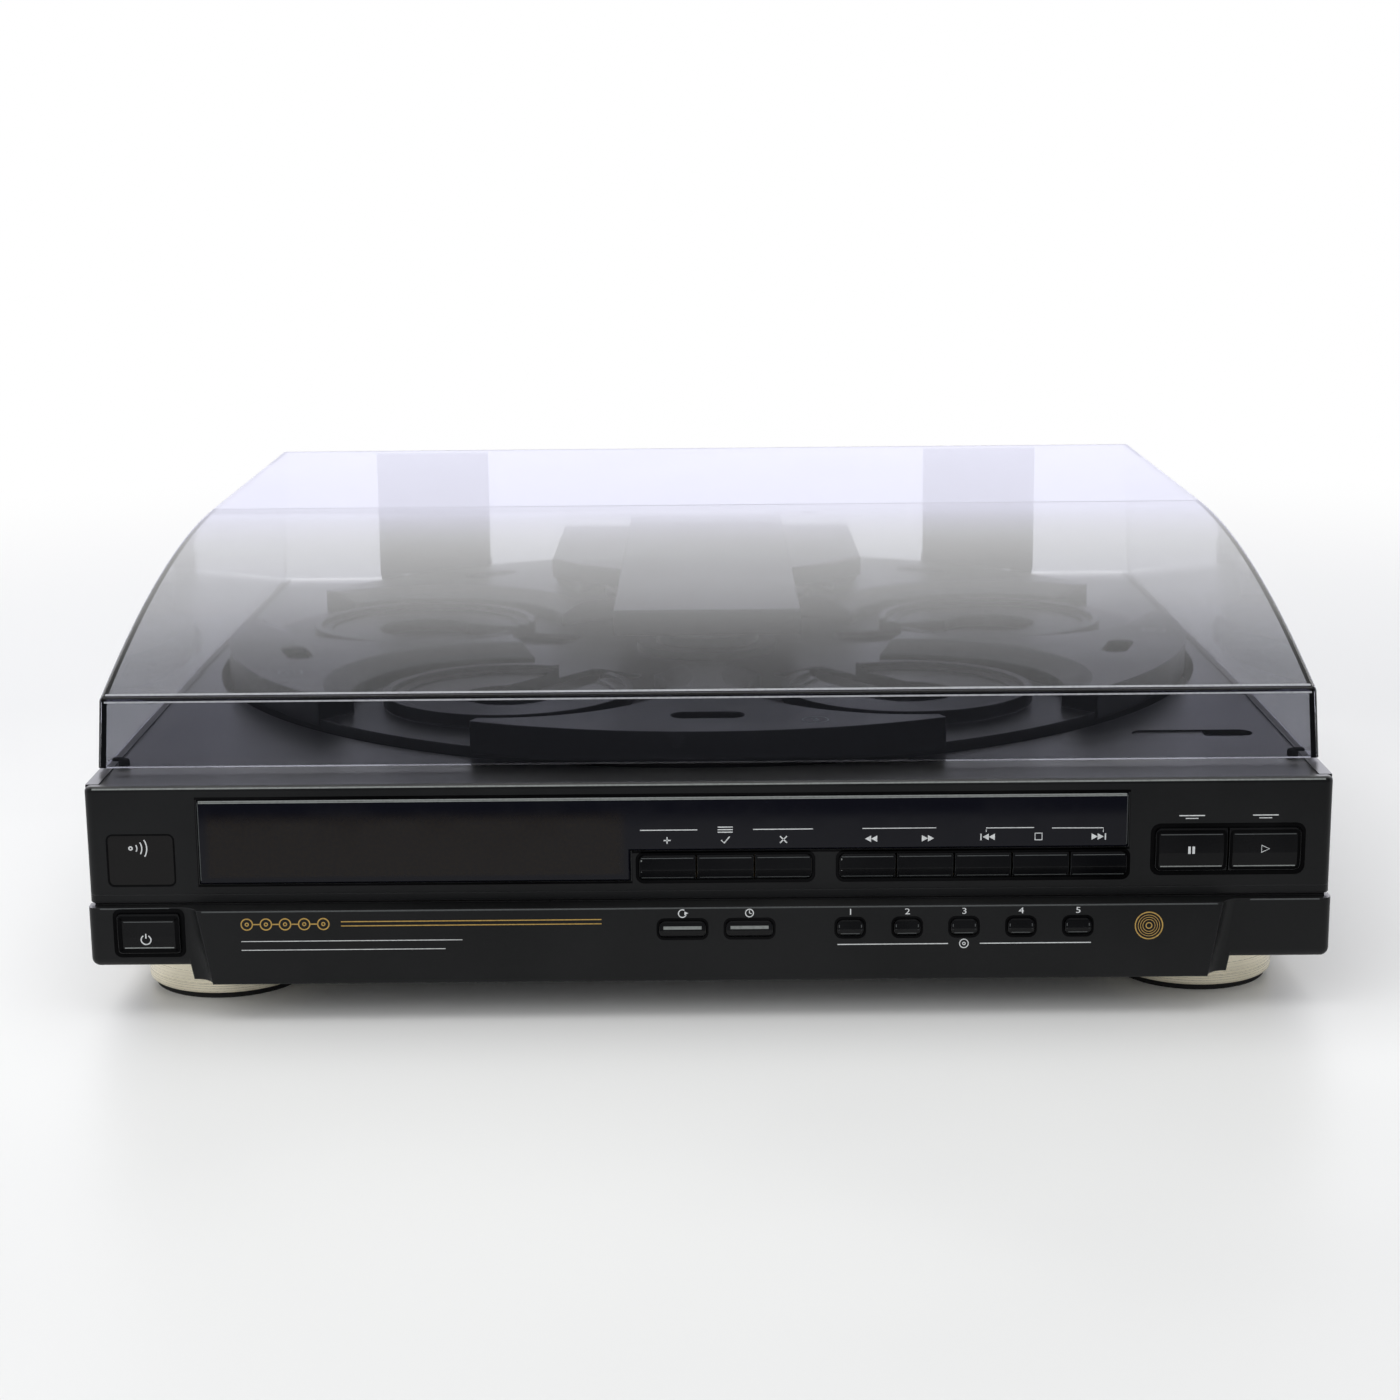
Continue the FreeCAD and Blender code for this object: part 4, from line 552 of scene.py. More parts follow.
def smoked_lid():
    tree, shader = finish_tree("smoked_lid")
    place = own_place(tree)
    stretch = add(tree, "ShaderNodeMapping", {"Vector": place, "Scale": (60.0, 900.0, 60.0),
                                              "Rotation": (0.0, 0.0, math.radians(31.0))})
    hairs = noise(tree, stretch.outputs[0], 1.0, 3.0)
    hair = ramp(tree, hairs, 0.66, 0.74)
    mask = place_group(tree, settled_dust, Amount=0.35)["Mask"]
    rough = plus(tree, 0.012, times(tree, hair, 0.10))
    rough = plus(tree, rough, times(tree, mask, 0.25), clamp=True)
    wave = noise(tree, place, 7.0, 1.0)
    bump = bumps(tree, 0.6, ripple_height, wave)
    parts = axes(tree, place)
    start, end = crease_z - crease_below, crease_z + crease_above
    below = ramp(tree, parts["Z"], start, start + crease_blur)
    above = ramp(tree, parts["Z"], end, end + crease_blur, 1.0, 0.0)
    front = ramp(tree, parts["Y"], *(lid_low.y + back for back in crease_front), 1.0, 0.0)
    # The band is painted shade for the dark middle of the crease.
    band = times(tree, times(tree, below, above), front)
    tint = blend_colours(tree, band, smoke, crease_shade_tone)
    plug(tree, shader, Base_Color=tint, Roughness=rough, Normal=bump, IOR=lid_index,
         Transmission_Weight=1.0)


smoked_lid()
print("the lid's crease is at z =", round(crease_z, 4))

# %% [markdown]
# Metals get their character from how they were worked. Turned aluminium keeps fine rings round its
# own axis, drawn rods keep lines along it, and folded sheet is painted with a slight orange peel. Noise
# that is stretched one way gives such lines without an image or unwrapping.

# %% Metals
feet_low, feet_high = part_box("foot_rings")
foot_half_x = 0.1752
foot_radius = (feet_high.x - feet_low.x) / 2 - foot_half_x
foot_half_y = (feet_high.y - feet_low.y) / 2 - foot_radius
foot_middle_y = (feet_high.y + feet_low.y) / 2


def metal(name, colour, roughness, lines_per_metre, depth, stretch=(1.0, 1.0, 1.0)):
    tree, shader = finish_tree(name)
    place = own_place(tree)
    along = add(tree, "ShaderNodeMapping", {"Vector": place, "Scale": stretch})
    lines = noise(tree, along.outputs[0], lines_per_metre, 3.0)
    shade = ramp(tree, lines, 0.3, 0.7, 0.0, 1.0)
    dull = rgba(*(0.72 * part for part in colour))
    tone = blend_colours(tree, shade, dull, rgba(*colour))
    rough = plus(tree, roughness, times(tree, shade, 0.10), clamp=True)
    plug(tree, shader, Base_Color=tone, Roughness=rough, Metallic=1.0,
         Normal=bumps(tree, depth, 0.0001, lines))


metal("bright_steel", (0.60, 0.60, 0.61), 0.22, 1500.0, 0.15, (0.1, 0.1, 1.0))
metal("motor_steel", (0.46, 0.46, 0.47), 0.32, 1200.0, 0.15, (1.0, 1.0, 0.1))
metal("sled_metal", (0.36, 0.36, 0.37), 0.45, 900.0, 0.30)
metal("transformer_core", (0.30, 0.28, 0.25), 0.55, 1400.0, 0.35, (0.05, 1.0, 0.05))


def painted_steel():
    tree, shader = finish_tree("painted_steel")
    skin = place_group(tree, moulded_skin, Colour=rgba(0.0120, 0.0120, 0.0125), Grain_per_metre=1300.0,
                       Grain_depth=0.25, Roughness=0.38, Corner=0.0005, Corner_shine=0.4)
    plug(tree, shader, Base_Color=skin["Colour"], Roughness=skin["Roughness"], Normal=skin["Normal"],
         Coat_Weight=0.15)


def champagne_metal():
    """Gold anodised aluminium with turned rings round each foot's own axis."""
    tree, shader = finish_tree("champagne_metal")
    parts = axes(tree, own_place(tree))
    across = minus(tree, maths(tree, "ABSOLUTE", parts["X"]), foot_half_x)
    centred = maths(tree, "ABSOLUTE", minus(tree, parts["Y"], foot_middle_y))
    along = minus(tree, centred, foot_half_y)
    flat = add(tree, "ShaderNodeCombineXYZ", {"X": across, "Y": along})
    radius = add(tree, "ShaderNodeVectorMath", {0: flat.outputs[0]}, operation="LENGTH").outputs["Value"]
    turned = add(tree, "ShaderNodeCombineXYZ", {"X": radius, "Z": parts["Z"]})
    rings = noise(tree, turned.outputs[0], 5200.0, 2.0)
    shade = ramp(tree, rings, 0.3, 0.7)
    tone = blend_colours(tree, shade, rgba(0.93, 0.86, 0.67), rgba(0.96, 0.90, 0.73))
    bump = bumps(tree, 0.02, 0.0001, rings)
    rough = plus(tree, 0.26, times(tree, shade, 0.08))
    plug(tree, shader, Base_Color=tone, Roughness=rough, Normal=bump, Metallic=0.5)


def circuit_board():
    tree, shader = finish_tree("circuit_board")
    place = own_place(tree)
    fibres = add(tree, "ShaderNodeTexBrick", {"Vector": place, "Scale": 700.0})
    tone = blend_colours(tree, fibres.outputs["Fac"], rgba(0.20, 0.13, 0.05), rgba(0.25, 0.17, 0.07))
    plug(tree, shader, Base_Color=tone, Roughness=0.35)


painted_steel()
champagne_metal()
circuit_board()
print("each foot has a radius of", round(foot_radius, 4))

# %% [markdown]
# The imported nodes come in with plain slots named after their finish. Each slot is given the material
# of that name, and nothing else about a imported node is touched.

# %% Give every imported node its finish


def dress(item):
    for holder in item.material_slots:
        holder.material = finishes[holder.material.name]


for packed in frame["nodes"].values():
    dress(packed)
print(len(frame["nodes"]), "nodes dressed with", len(finishes), "finishes")

# %% [markdown]
# Printed marks are a thin layer of ink. An image on the panel would blur from close by, so each mark
# is drawn flat, as a few polygons in millimetres, and every corner is laid on the surface by a ray.
# The ink follows a leaning panel, and has a real thickness of a few hundredths of a millimetre.

# %% Ink
ink_depth, ink_sink, weld = 0.00006, 0.00002, 1e-6
front_start_y = cad_bounds[0][1] - 0.01


def ink(name, colour, roughness=0.45, metallic=0.0):
    tree, shader = finish_tree(name)
    place = own_place(tree)
    wear = noise(tree, place, 900.0, 3.0)
    thin = ramp(tree, wear, 0.30, 0.60, 0.78, 1.0)
    tone = blend_colours(tree, thin, grey(0.02), rgba(*colour))
    plug(tree, shader, Base_Color=tone, Roughness=roughness, Metallic=metallic)


ink("white_ink", (0.62, 0.64, 0.65))
ink("gold_ink", (0.50, 0.32, 0.085), 0.38, 0.35)
ink("faint_ink", (0.42, 0.44, 0.46))
# The next two inks are painted highlights for edges, a strong one and a dim one.
ink("edge_shine", (0.20, 0.215, 0.21), 0.35)
ink("edge_dim_highlight", (0.060, 0.066, 0.068), 0.40)
# A pale ink for the painted highlights beside the lid's crease.
ink("crease_highlight_ink", (0.40, 0.41, 0.44), 0.25)


def from_front(u, v):
    return Vector((u, front_start_y, v))


def surface_of(*names):
    """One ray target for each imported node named."""
    return [BVHTree.FromObject(frame["nodes"][name], bpy.context.evaluated_depsgraph_get()) for name in names]


def lay_on(targets, start, direction):
    """Where a ray first meets the targets."""
    hits = [target.ray_cast(start, direction)[0] for target in targets]
    hits = [hit for hit in hits if hit is not None]
    return min(hits, key=lambda hit: (hit - start).length)


def raise_faces(shape, by):
    """Gives flat faces a thickness, and turns every face outwards."""
    raised = bmesh.ops.extrude_face_region(shape, geom=shape.faces[:])
    lifted = [item for item in raised["geom"] if isinstance(item, bmesh.types.BMVert)]
    bmesh.ops.translate(shape, verts=lifted, vec=by)
    bmesh.ops.recalc_face_normals(shape, faces=shape.faces)


def link_mesh(name, shape):
    mesh = bpy.data.meshes.new(name)
    shape.to_mesh(mesh)
    shape.free()
    made = bpy.data.objects.new(name, mesh)
    scene.collection.objects.link(made)
    return made


def place_piece(made, body, stands_for=()):
    """The body that the piece moves with, and the imported nodes it replaces, which are hidden."""
    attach(made, body)
    if stands_for:
        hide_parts(*stands_for)
    print(made.name, "rides on", body, "with", len(made.data.polygons), "faces")


def print_marks(name, shapes, finish, targets, body="cabinet", start_of=None, toward=(0, 1, 0)):
    """Flat polygons, laid on a surface by rays and given the thickness of ink."""
    shape = bmesh.new()
    toward = Vector(toward)
    for polygon in shapes:
        met = [lay_on(targets, (start_of or from_front)(u * MM, v * MM), toward) for u, v in polygon]
        shape.faces.new([shape.verts.new(point + toward * ink_sink) for point in met])
    bmesh.ops.remove_doubles(shape, verts=shape.verts, dist=weld)
    bmesh.ops.recalc_face_normals(shape, faces=shape.faces)
    raise_faces(shape, -toward * (ink_depth + ink_sink))
    made = link_mesh(name, shape)
    made.data.materials.append(finishes[finish])
    place_piece(made, body)


# %% [markdown]
# Every mark is built from a few shapes in the plane of the panel, u across and v up: a bar, a line of
# even width through points, a ring and an arrow. Numerals come from Blender's own font. Curves could
# do the same, but plain polygons are easy to lay on a surface corner by corner.

# %% Shapes to print, in millimetres


def bar(u0, v0, u1, v1):
    return [[(u0, v0), (u1, v0), (u1, v1), (u0, v1)]]


def rule(u0, u1, v, width=0.32):
    return bar(u0, v - width / 2, u1, v + width / 2)


def stroke(points, width=0.3, closed=False):
    """A line of even width through the points, one polygon for each run."""
    count = len(points)
    sides = []
    for index, (u, v) in enumerate(points):
        before = points[index - 1] if index or closed else (u, v)
        after = points[(index + 1) % count] if index + 1 < count or closed else (u, v)
        along = Vector((after[0] - before[0], after[1] - before[1])).normalized()
        side = Vector((-along.y, along.x)) * width / 2
        sides.append(((u + side.x, v + side.y), (u - side.x, v - side.y)))
    ends = sides[1:] + (sides[:1] if closed else [])
    return [[start[0], end[0], end[1], start[1]] for start, end in zip(sides, ends)]


def arc(u, v, radius, start, end, steps=20):
    turns = [math.radians(start + (end - start) * i / steps) for i in range(steps + 1)]
    return [(u + radius * math.cos(turn), v + radius * math.sin(turn)) for turn in turns]


def ring(u, v, radius, width=0.3, start=0.0, end=360.0, steps=28):
    closed = end - start >= 360.0
    points = arc(u, v, radius, start, end, steps)
    return stroke(points[:-1] if closed else points, width, closed)


def arrow(u, v, width, height, facing):
    """A filled triangle whose middle is at u, v."""
    half = facing * width / 2
    return [[(u - half, v - height / 2), (u + half, v), (u - half, v + height / 2)]]


def double_arrow(u, v, facing, width=2.1, height=2.3):
    return arrow(u - width / 2, v, width, height, facing) + arrow(u + width / 2, v, width, height, facing)


def final_mesh(item):
    """What the item looks like once its modifiers and curves are worked out."""
    return bpy.data.meshes.new_from_object(item.evaluated_get(bpy.context.evaluated_depsgraph_get()))


def numeral(text, u, v, height, stretch=1.3):
    """A plain numeral from Blender's own font, centred on u, v."""
    curve = bpy.data.curves.new("numeral", "FONT")
    curve.body = text
    curve.size = height / 0.70
    curve.align_x = "CENTER"
    curve.align_y = "CENTER"
    curve.resolution_u = 4
    holder = bpy.data.objects.new("numeral", curve)
    scene.collection.objects.link(holder)
    flat = final_mesh(holder)
    shapes = [[(u + stretch * flat.vertices[i].co.x, v + flat.vertices[i].co.y) for i in face.vertices]
              for face in flat.polygons]
    bpy.data.objects.remove(holder)
    bpy.data.meshes.remove(flat)
    return shapes


# %% [markdown]
# The upper panel carries the transport marks. Words are left off, and common pictograms stand in
# their places: plus, tick and cross over the program keys, arrows and a square over the transport
# keys, and short rules over the two large ones.

# %% Marks of the upper panel
label_height, rule_height, half_mark = 61.6, 65.3, 1.2
bold, fine = 0.42, 0.30


def middles(names):
    """The middle of each named node across the front, in millimetres."""
    return [(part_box(name)[0].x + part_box(name)[1].x) / 2 / MM for name in names]


def numbered(row, count):
    return [row + str(index + 1) for index in range(count)]


def square(u, v, half, width):
    return stroke([(u - half, v - half), (u + half, v - half), (u + half, v + half), (u - half, v + half)],
                  width, closed=True)


program_keys, track_keys = numbered("program_button_", 3), numbered("transport_button_", 5)
keys, tracks, pads = middles(program_keys), middles(track_keys), middles(("pause_button", "play_button"))
upper = rule(keys[0] - 9.3, keys[1] - 9.6, rule_height) + rule(keys[1] + 9.6, keys[2] + 10.2, rule_height)
for level in (-0.9, 0.0, 0.9):
    upper += rule(keys[1] - 2.6, keys[1] + 2.6, rule_height + level, 0.36)
upper += rule(keys[0] - half_mark, keys[0] + half_mark, label_height, bold)
upper += bar(keys[0] - bold / 2, label_height - half_mark, keys[0] + bold / 2, label_height + half_mark)
upper += stroke([(keys[1] - 1.4, label_height), (keys[1] - 0.4, label_height - 1.1),
                 (keys[1] + 1.5, label_height + 1.2)], bold)
for lean in (1, -1):
    upper += stroke([(keys[2] - half_mark, label_height - lean * half_mark),
                     (keys[2] + half_mark, label_height + lean * half_mark)], bold)
upper += double_arrow(tracks[0] + 1.2, label_height, -1) + double_arrow(tracks[1] + 0.8, label_height, 1)
upper += rule(tracks[0] - 1.8, tracks[1] + 3.6, rule_height, 0.28)
upper += double_arrow(tracks[2] + 1.8, label_height + 0.3, -1)
upper += bar(tracks[2] - 1.1, label_height - 0.85, tracks[2] - 0.65, label_height + 1.45)
upper += square(tracks[3] - 1.0, label_height + 0.3, half_mark, 0.36)
upper += double_arrow(tracks[4] - 0.6, label_height + 0.1, 1)
upper += bar(tracks[4] + 1.85, label_height - 1.05, tracks[4] + 2.3, label_height + 1.25)
upper += stroke([(tracks[2] + 0.9, rule_height - 1.6), (tracks[2] + 0.9, rule_height - 0.2),
                 (tracks[3] - 2.6, rule_height - 0.2)], fine)
upper += stroke([(tracks[4] + 1.3, rule_height - 2.0), (tracks[4] + 1.3, rule_height - 0.5),
                 (tracks[3] + 3.6, rule_height - 0.4)], fine)
panel = surface_of("front_bezel", "display_window", "ir_window")
print_marks("panel_marks", upper, "white_ink", panel)

pad_label = 68.7
large = []
for middle in pads:
    large += rule(middle - 4.4, middle + 4.4, pad_label, 0.36)
    large += rule(middle - 2.2, middle + 2.2, pad_label - 1.0, fine)
print_marks("pad_marks", large, "white_ink", panel)

receiver_u, receiver_v = middles(["ir_window"])[0] - 3.4, 60.2
waves = ring(receiver_u, receiver_v, 0.55, 0.5, steps=16)
for radius in (2.2, 3.9, 5.6):
    waves += ring(receiver_u, receiver_v, radius, bold, -32.0, 32.0, steps=8)
print_marks("receiver_mark", waves, "white_ink", panel)

# %% [markdown]
# The marks on the keys are printed on the caps, so they ride on the keys and go in with them. The
# rays of these marks may only meet their own key.

# %% Marks on the two large keys and the power key
pause_v, play_v = 56.6, 56.9
pause = bar(pads[0] - 1.15, pause_v - 1.3, pads[0] - 0.3, pause_v + 1.3)
pause += bar(pads[0] + 0.3, pause_v - 1.3, pads[0] + 1.15, pause_v + 1.3)
play = stroke([(pads[1] - 1.2, play_v - 1.25), (pads[1] + 1.5, play_v), (pads[1] - 1.2, play_v + 1.25)], 0.36,
              closed=True)
power_u, power_v = middles(["power_button"])[0] - 1.0, 28.4
switch = ring(power_u, power_v, 1.7, bold, 120.0, 420.0, steps=24)
switch += bar(power_u - bold / 2, power_v + 0.5, power_u + bold / 2, power_v + 2.2)
for name, shapes in (("pause", pause), ("play", play), ("power", switch)):
    print_marks(name + "_mark", shapes, "white_ink", surface_of(name + "_button"),
                name + "_button_unit")

# %% [markdown]
# The lower strip has a loop over the repeat key, a clock over the time key and plain numerals over
# the five disc keys, with one rule under all of them. Five linked gold rings take the place of a
# name, and a gold disc takes the place of a badge.

# %% Marks of the lower strip
strip = surface_of("lower_strip")
disc_keys = numbered("disc_button_", 5)
repeat_u, time_u = middles(("repeat_button", "time_button"))
discs = middles(disc_keys)
numeral_v, disc_rule_v = 37.3, 25.9
lower = ring(repeat_u, numeral_v, 1.35, 0.34, 60.0, 340.0)
lower += arrow(repeat_u + 1.35, numeral_v + 0.1, 1.3, 1.3, 1)
lower += ring(time_u, numeral_v, 1.35, 0.32)
lower += stroke([(time_u, numeral_v + 0.95), (time_u, numeral_v), (time_u + 0.75, numeral_v - 0.25)], fine)
for index, disc_u in enumerate(discs):
    lower += numeral(str(index + 1), disc_u + 0.1, numeral_v, 2.1)
lower += rule(discs[0] - 4.4, discs[2] - 5.5, disc_rule_v) + rule(discs[2] + 5.5, discs[4] + 4.6, disc_rule_v)
lower += ring(discs[2], disc_rule_v, 1.5, 0.32) + ring(discs[2], disc_rule_v, 0.45, fine, steps=14)
for line_end, line_v in ((-85.3, 28.7), (-91.2, 25.6)):
    lower += rule(-161.6, line_end, line_v, 0.24)
print_marks("strip_marks", lower, "white_ink", strip)

badge_v, first_u, pitch, link = 34.7, -159.5, 6.6, 2.2
gold = []
for index in range(5):
    at = first_u + pitch * index
    gold += ring(at, badge_v, 1.95, bold) + ring(at, badge_v, 0.55, 0.38, steps=14)
    if index < 4:
        gold += rule(at + link, at + pitch - link, badge_v, bold)
for level in (0.75, -0.75):
    gold += rule(-127.0, -37.2, badge_v + level, 0.34)
disc_u, disc_v = 151.4, 31.7
for radius, width in ((4.7, bold), (3.7, 0.22), (2.9, 0.22), (2.1, 0.22), (1.0, 0.36)):
    gold += ring(disc_u, disc_v, radius, width, steps=40)
print_marks("gold_marks", gold, "gold_ink", strip)

# %% [markdown]
# Where parts meet, a real panel shows a dark gap, and beside it a pale line where the edge catches
# the light. Here the gap is a dark strip, wider than the real gap, as painted shade of the recess,
# and the pale line is a painted highlight. Both are thinner than a millimetre, so they are laid on the
# faces as thin strips in the same way as the ink. A strip that crosses an opening is laid on a flat target.

# %% Helpers for gaps and edges
flange_rise, key_corner = 1.2, 1.6
into_panel = Vector((0, 1, 0))


def rounded(u0, v0, u1, v1, radius, kink=None):
    """Points round a rectangle with round corners, with one more on each side at the kink's height."""
    left, low, right, high = u0 + radius, v0 + radius, u1 - radius, v1 - radius
    points = arc(right, high, radius, 0, 90, 5) + arc(left, high, radius, 90, 180, 5)
    points += [(u0, kink)] if kink else []
    points += arc(left, low, radius, 180, 270, 5) + arc(right, low, radius, 270, 360, 5)
    return points + ([(u1, kink)] if kink else [])


def cap_of(first, last=None):
    """Left, bottom, right and top of the caps from the first key to the last, in millimetres."""
    low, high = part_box(first)[0] / MM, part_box(last or first)[1] / MM
    return low.x, low.z + flange_rise, high.x, high.z - flange_rise


def flat_target(targets, u, low_v, high_v):
    """A wide flat target through two heights of a face."""
    lower, upper = (lay_on(targets, from_front(u * MM, v * MM), into_panel) for v in (low_v, high_v))
    corners = [Vector((side, point.y, point.z)) + reach * (upper - lower)
               for side, point, reach in ((-1, lower, -3), (1, lower, -3), (1, upper, 3), (-1, upper, 3))]
    return [BVHTree.FromPolygons(corners, [(0, 1, 2, 3)])]


def gap_round(cap, radius, width=1.2, clear=0.10):
    u0, v0, u1, v1 = cap
    out = clear + width / 2
    return stroke(rounded(u0 - out, v0 - out, u1 + out, v1 + out, radius + out), width, closed=True)


# %% [markdown]
# On the real front each row of keys looks out of one opening, so one gap runs round the whole row.
# The window's gap has the window's own outline, with its notch. Only the power key stands alone.

# %% Gaps of the front panel
pane_left, pane_low = window_low.x / MM, window_low.z / MM
pane_right, pane_top = window_high.x / MM, window_high.z / MM
window_notch, window_short = -27.0, 19.5
seat, half_gap = 0.3, 0.45
out = seat + half_gap
short_low = pane_top + seat - window_short
notch_u, notch_v = window_notch + half_gap, short_low - half_gap
outline = [(pane_left - out, pane_top + out), (pane_right + out, pane_top + out), (pane_right + out, notch_v),
           (notch_u, notch_v), (notch_u, pane_low - out), (pane_left - out, pane_low - out)]
pane_out = 0.1
receiver_low, receiver_high = (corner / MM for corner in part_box("ir_window"))
receiver_edge = rounded(receiver_low.x - pane_out, receiver_low.z - pane_out, receiver_high.x + pane_out,
                        receiver_high.z + pane_out, 2.0)
# The dark strips below are painted shade of the gaps round the window, the receiver and the rows of keys.
gaps = stroke(outline, 0.8, closed=True)
gaps += gap_round(cap_of(program_keys[0], program_keys[-1]), key_corner)
gaps += gap_round(cap_of(track_keys[0], track_keys[-1]), key_corner)
gaps += gap_round(cap_of("pause_button", "play_button"), key_corner, 1.6)
gaps += stroke(receiver_edge, 0.6, closed=True)
bezel_plane = flat_target(surface_of("front_bezel"), -209.0, 48.0, 70.0)
print_marks("panel_gaps", gaps, "gap_shade_black", bezel_plane)
# Painted shade of the gaps round the keys of the lower strip, and round the power key.
gaps = [shape for name in ["repeat_button", "time_button"] + disc_keys
        for shape in gap_round(cap_of(name), key_corner, 0.9)]
print_marks("strip_gaps", gaps, "gap_shade_black", flat_target(strip, 60.0, 24.0, 38.0))
power_cap = cap_of("power_button")
block_plane = flat_target(strip, power_cap[0] - 2.6, 25.0, 36.0)
print_marks("power_gap", gap_round(power_cap, 0.9, 1.6), "gap_shade_black", block_plane)
print("the power key's cap:", [round(value, 1) for value in power_cap], "mm")

# %% [markdown]
# The upper panel ends in a lip that nearly meets the lower strip, and it wraps round both sides. It
# is drawn in plan as one outline, extruded to its height and softened along its edges.

# %% Lip of the upper panel
lip_depth, lip_low, lip_high, lip_corner, lip_softness = 1.45, 40.5, 43.45, 3.0, 0.00025


def panel_lip():
    low, high = (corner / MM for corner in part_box("front_bezel"))
    side, front, back = high.x, low.y, high.y
    inner = side - lip_depth
    turn_v = front + lip_corner
    outline = [(-side, back)] + arc(-side + lip_corner, turn_v, lip_corner, 180, 270, 6)
    outline += arc(side - lip_corner, turn_v, lip_corner, 270, 360, 6) + [(side, back), (inner, back)]
    outline += [(inner, front + lip_depth), (-inner, front + lip_depth), (-inner, back)]
    shape = bmesh.new()
    shape.faces.new([shape.verts.new((x * MM, y * MM, lip_low * MM)) for x, y in outline])
    raise_faces(shape, (0, 0, (lip_high - lip_low) * MM))
    middle = (lip_low + lip_high) / 2 * MM
    low_edges = [edge for edge in shape.edges if all(vert.co.z < middle for vert in edge.verts)]
    bmesh.ops.bevel(shape, geom=low_edges, offset=lip_softness, segments=2, affect="EDGES")
    return shape


lip = link_mesh("panel_lip", panel_lip())
lip.data.materials.append(finishes["charcoal_plastic"])
place_piece(lip, "cabinet")

# %% [markdown]
# Long edges catch the light as a pale line. A bevel of a fraction of a millimetre would show it only
# from close by, so the lines are painted highlights, laid on as very thin strips in two tones, strong and
# dim.

# %% Painted highlights on the front panel's edges
bezel_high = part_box("front_bezel")[1] / MM
edge_reach = bezel_high.x - 3.0
pale = rule(-edge_reach, edge_reach, bezel_high.z - 0.75, 0.5)
for below in (0.26, 0.75):
    pale += rule(pane_left + 0.6, pane_right - 0.6, pane_top - below, 0.4)
print_marks("panel_edges", pale, "edge_shine", panel)
pane_side = bar(pane_right - 0.48, short_low + 1.2, pane_right - 0.08, pane_top - 0.6)
pane_side += bar(pane_left + 0.08, pane_low + 1.2, pane_left + 0.48, pane_top - 0.6)
print_marks("window_sides", pane_side, "edge_dim_highlight", panel)
strip_edge = 39.2
dim = []
for u0, u1 in ((-175.0, 175.0), (-211.0, -187.0), (187.0, 211.0)):
    dim += rule(u0, u1, strip_edge, 0.5)
print_marks("strip_edges", dim, "edge_dim_highlight", strip)

# %% [markdown]
# Each key's cap gets painted highlights, thin lines along the top and bottom, and a painted glint at the
# end of each row. The large keys also get a dark border, painted shade of their recess. All of it rides on
# its own key.

# %% Painted light on the keys
kink_share = 0.42


def key_trim(name, shapes, finish, kind):
    print_marks(name + "_" + kind, shapes, finish, surface_of(name), name + "_unit")


for row in (program_keys, track_keys):
    for name in row:
        u0, v0, u1, v1 = cap_of(name)
        key_trim(name, rule(u0 + 0.7, u1 - 0.7, v1 - 0.95, fine) + rule(u0 + 0.7, u1 - 0.7, v0 + 0.65, fine),
                 "edge_dim_highlight", "edges")
    u0, v0, u1, v1 = cap_of(row[0])
    key_trim(row[0], bar(u0 + 0.5, v0 + 2.9, u0 + 0.9, v1 - 1.5), "edge_shine", "glint")
for name in ("repeat_button", "time_button"):
    u0, v0, u1, v1 = cap_of(name)
    key_trim(name, rule(u0 + 1.4, u1 - 1.4, v0 + 0.62 * (v1 - v0), 1.1), "edge_shine", "glint")
for name in disc_keys:
    u0, v0, u1, v1 = cap_of(name)
    lines = rule(u0 + 1.2, u1 - 1.2, v0 + 0.75, 0.35) + bar(u0 + 0.5, v0 + 2.2, u0 + 0.8, v1 - 1.6)
    key_trim(name, lines + bar(u1 - 0.8, v0 + 2.2, u1 - 0.5, v1 - 1.6), "edge_dim_highlight", "edges")
for name, width, radius in (("pause_button", 1.0, 1.2), ("play_button", 1.0, 1.2),
                            ("power_button", 1.5, 0.4)):
    u0, v0, u1, v1 = cap_of(name)
    near, over, inner = 0.15 + width / 2, 0.60 + width / 2, 0.3 + width
    # The dark border is painted shade of the recess round the cap.
    border = rounded(u0 + near, v0 + near, u1 - near, v1 - over, radius, v0 + kink_share * (v1 - v0))
    key_trim(name, stroke(border, width, closed=True), "gap_shade_black", "border")
    key_trim(name, rule(u0 + inner + 0.4, u1 - inner - 0.4, v0 + inner + 0.25, 0.4), "edge_shine", "glint")
    key_trim(name, rule(u0 + inner + 0.4, u1 - inner - 0.4, v1 - inner - 0.8, fine), "edge_dim_highlight", "edges")

# %% [markdown]
# Above the lid's skirt the wall turns back in a tight bend. A bright line is painted on each side of
# its dark middle, as painted highlights of the bend.

# %% Painted highlights beside the lid's crease
line_reach = lid_high.x / MM - 3.2
creases = []
for line_rise, line_width in ((-1.35, 0.6), (0.80, 0.40)):
    creases += rule(-line_reach, line_reach, crease_z / MM + line_rise, line_width)
print_marks("lid_crease_lines", creases, "crease_highlight_ink", surface_of("lid"), "lid_unit")

# %% [markdown]
# Each disc well has its number in a circle on the raised block at its left. The five marks are one
# drawing turned round the carousel's axis, and they ride with the carousel.

# %% Numbers on the carousel
carousel_joint = next(joint for joint in frame["joints"] if joint["name"] == "carousel_turn")
carousel_centre = Vector(carousel_joint["pos_m"]) / MM
carousel_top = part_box("carousel")[1].z
number_radius, number_step = 188.5, 11.8
block_numbers = {198.0: "2", 270.0: "3", 342.0: "4", 54.0: "5", 126.0: "1"}


def from_above(u, v):
    return Vector((u, v, carousel_top + 0.02))


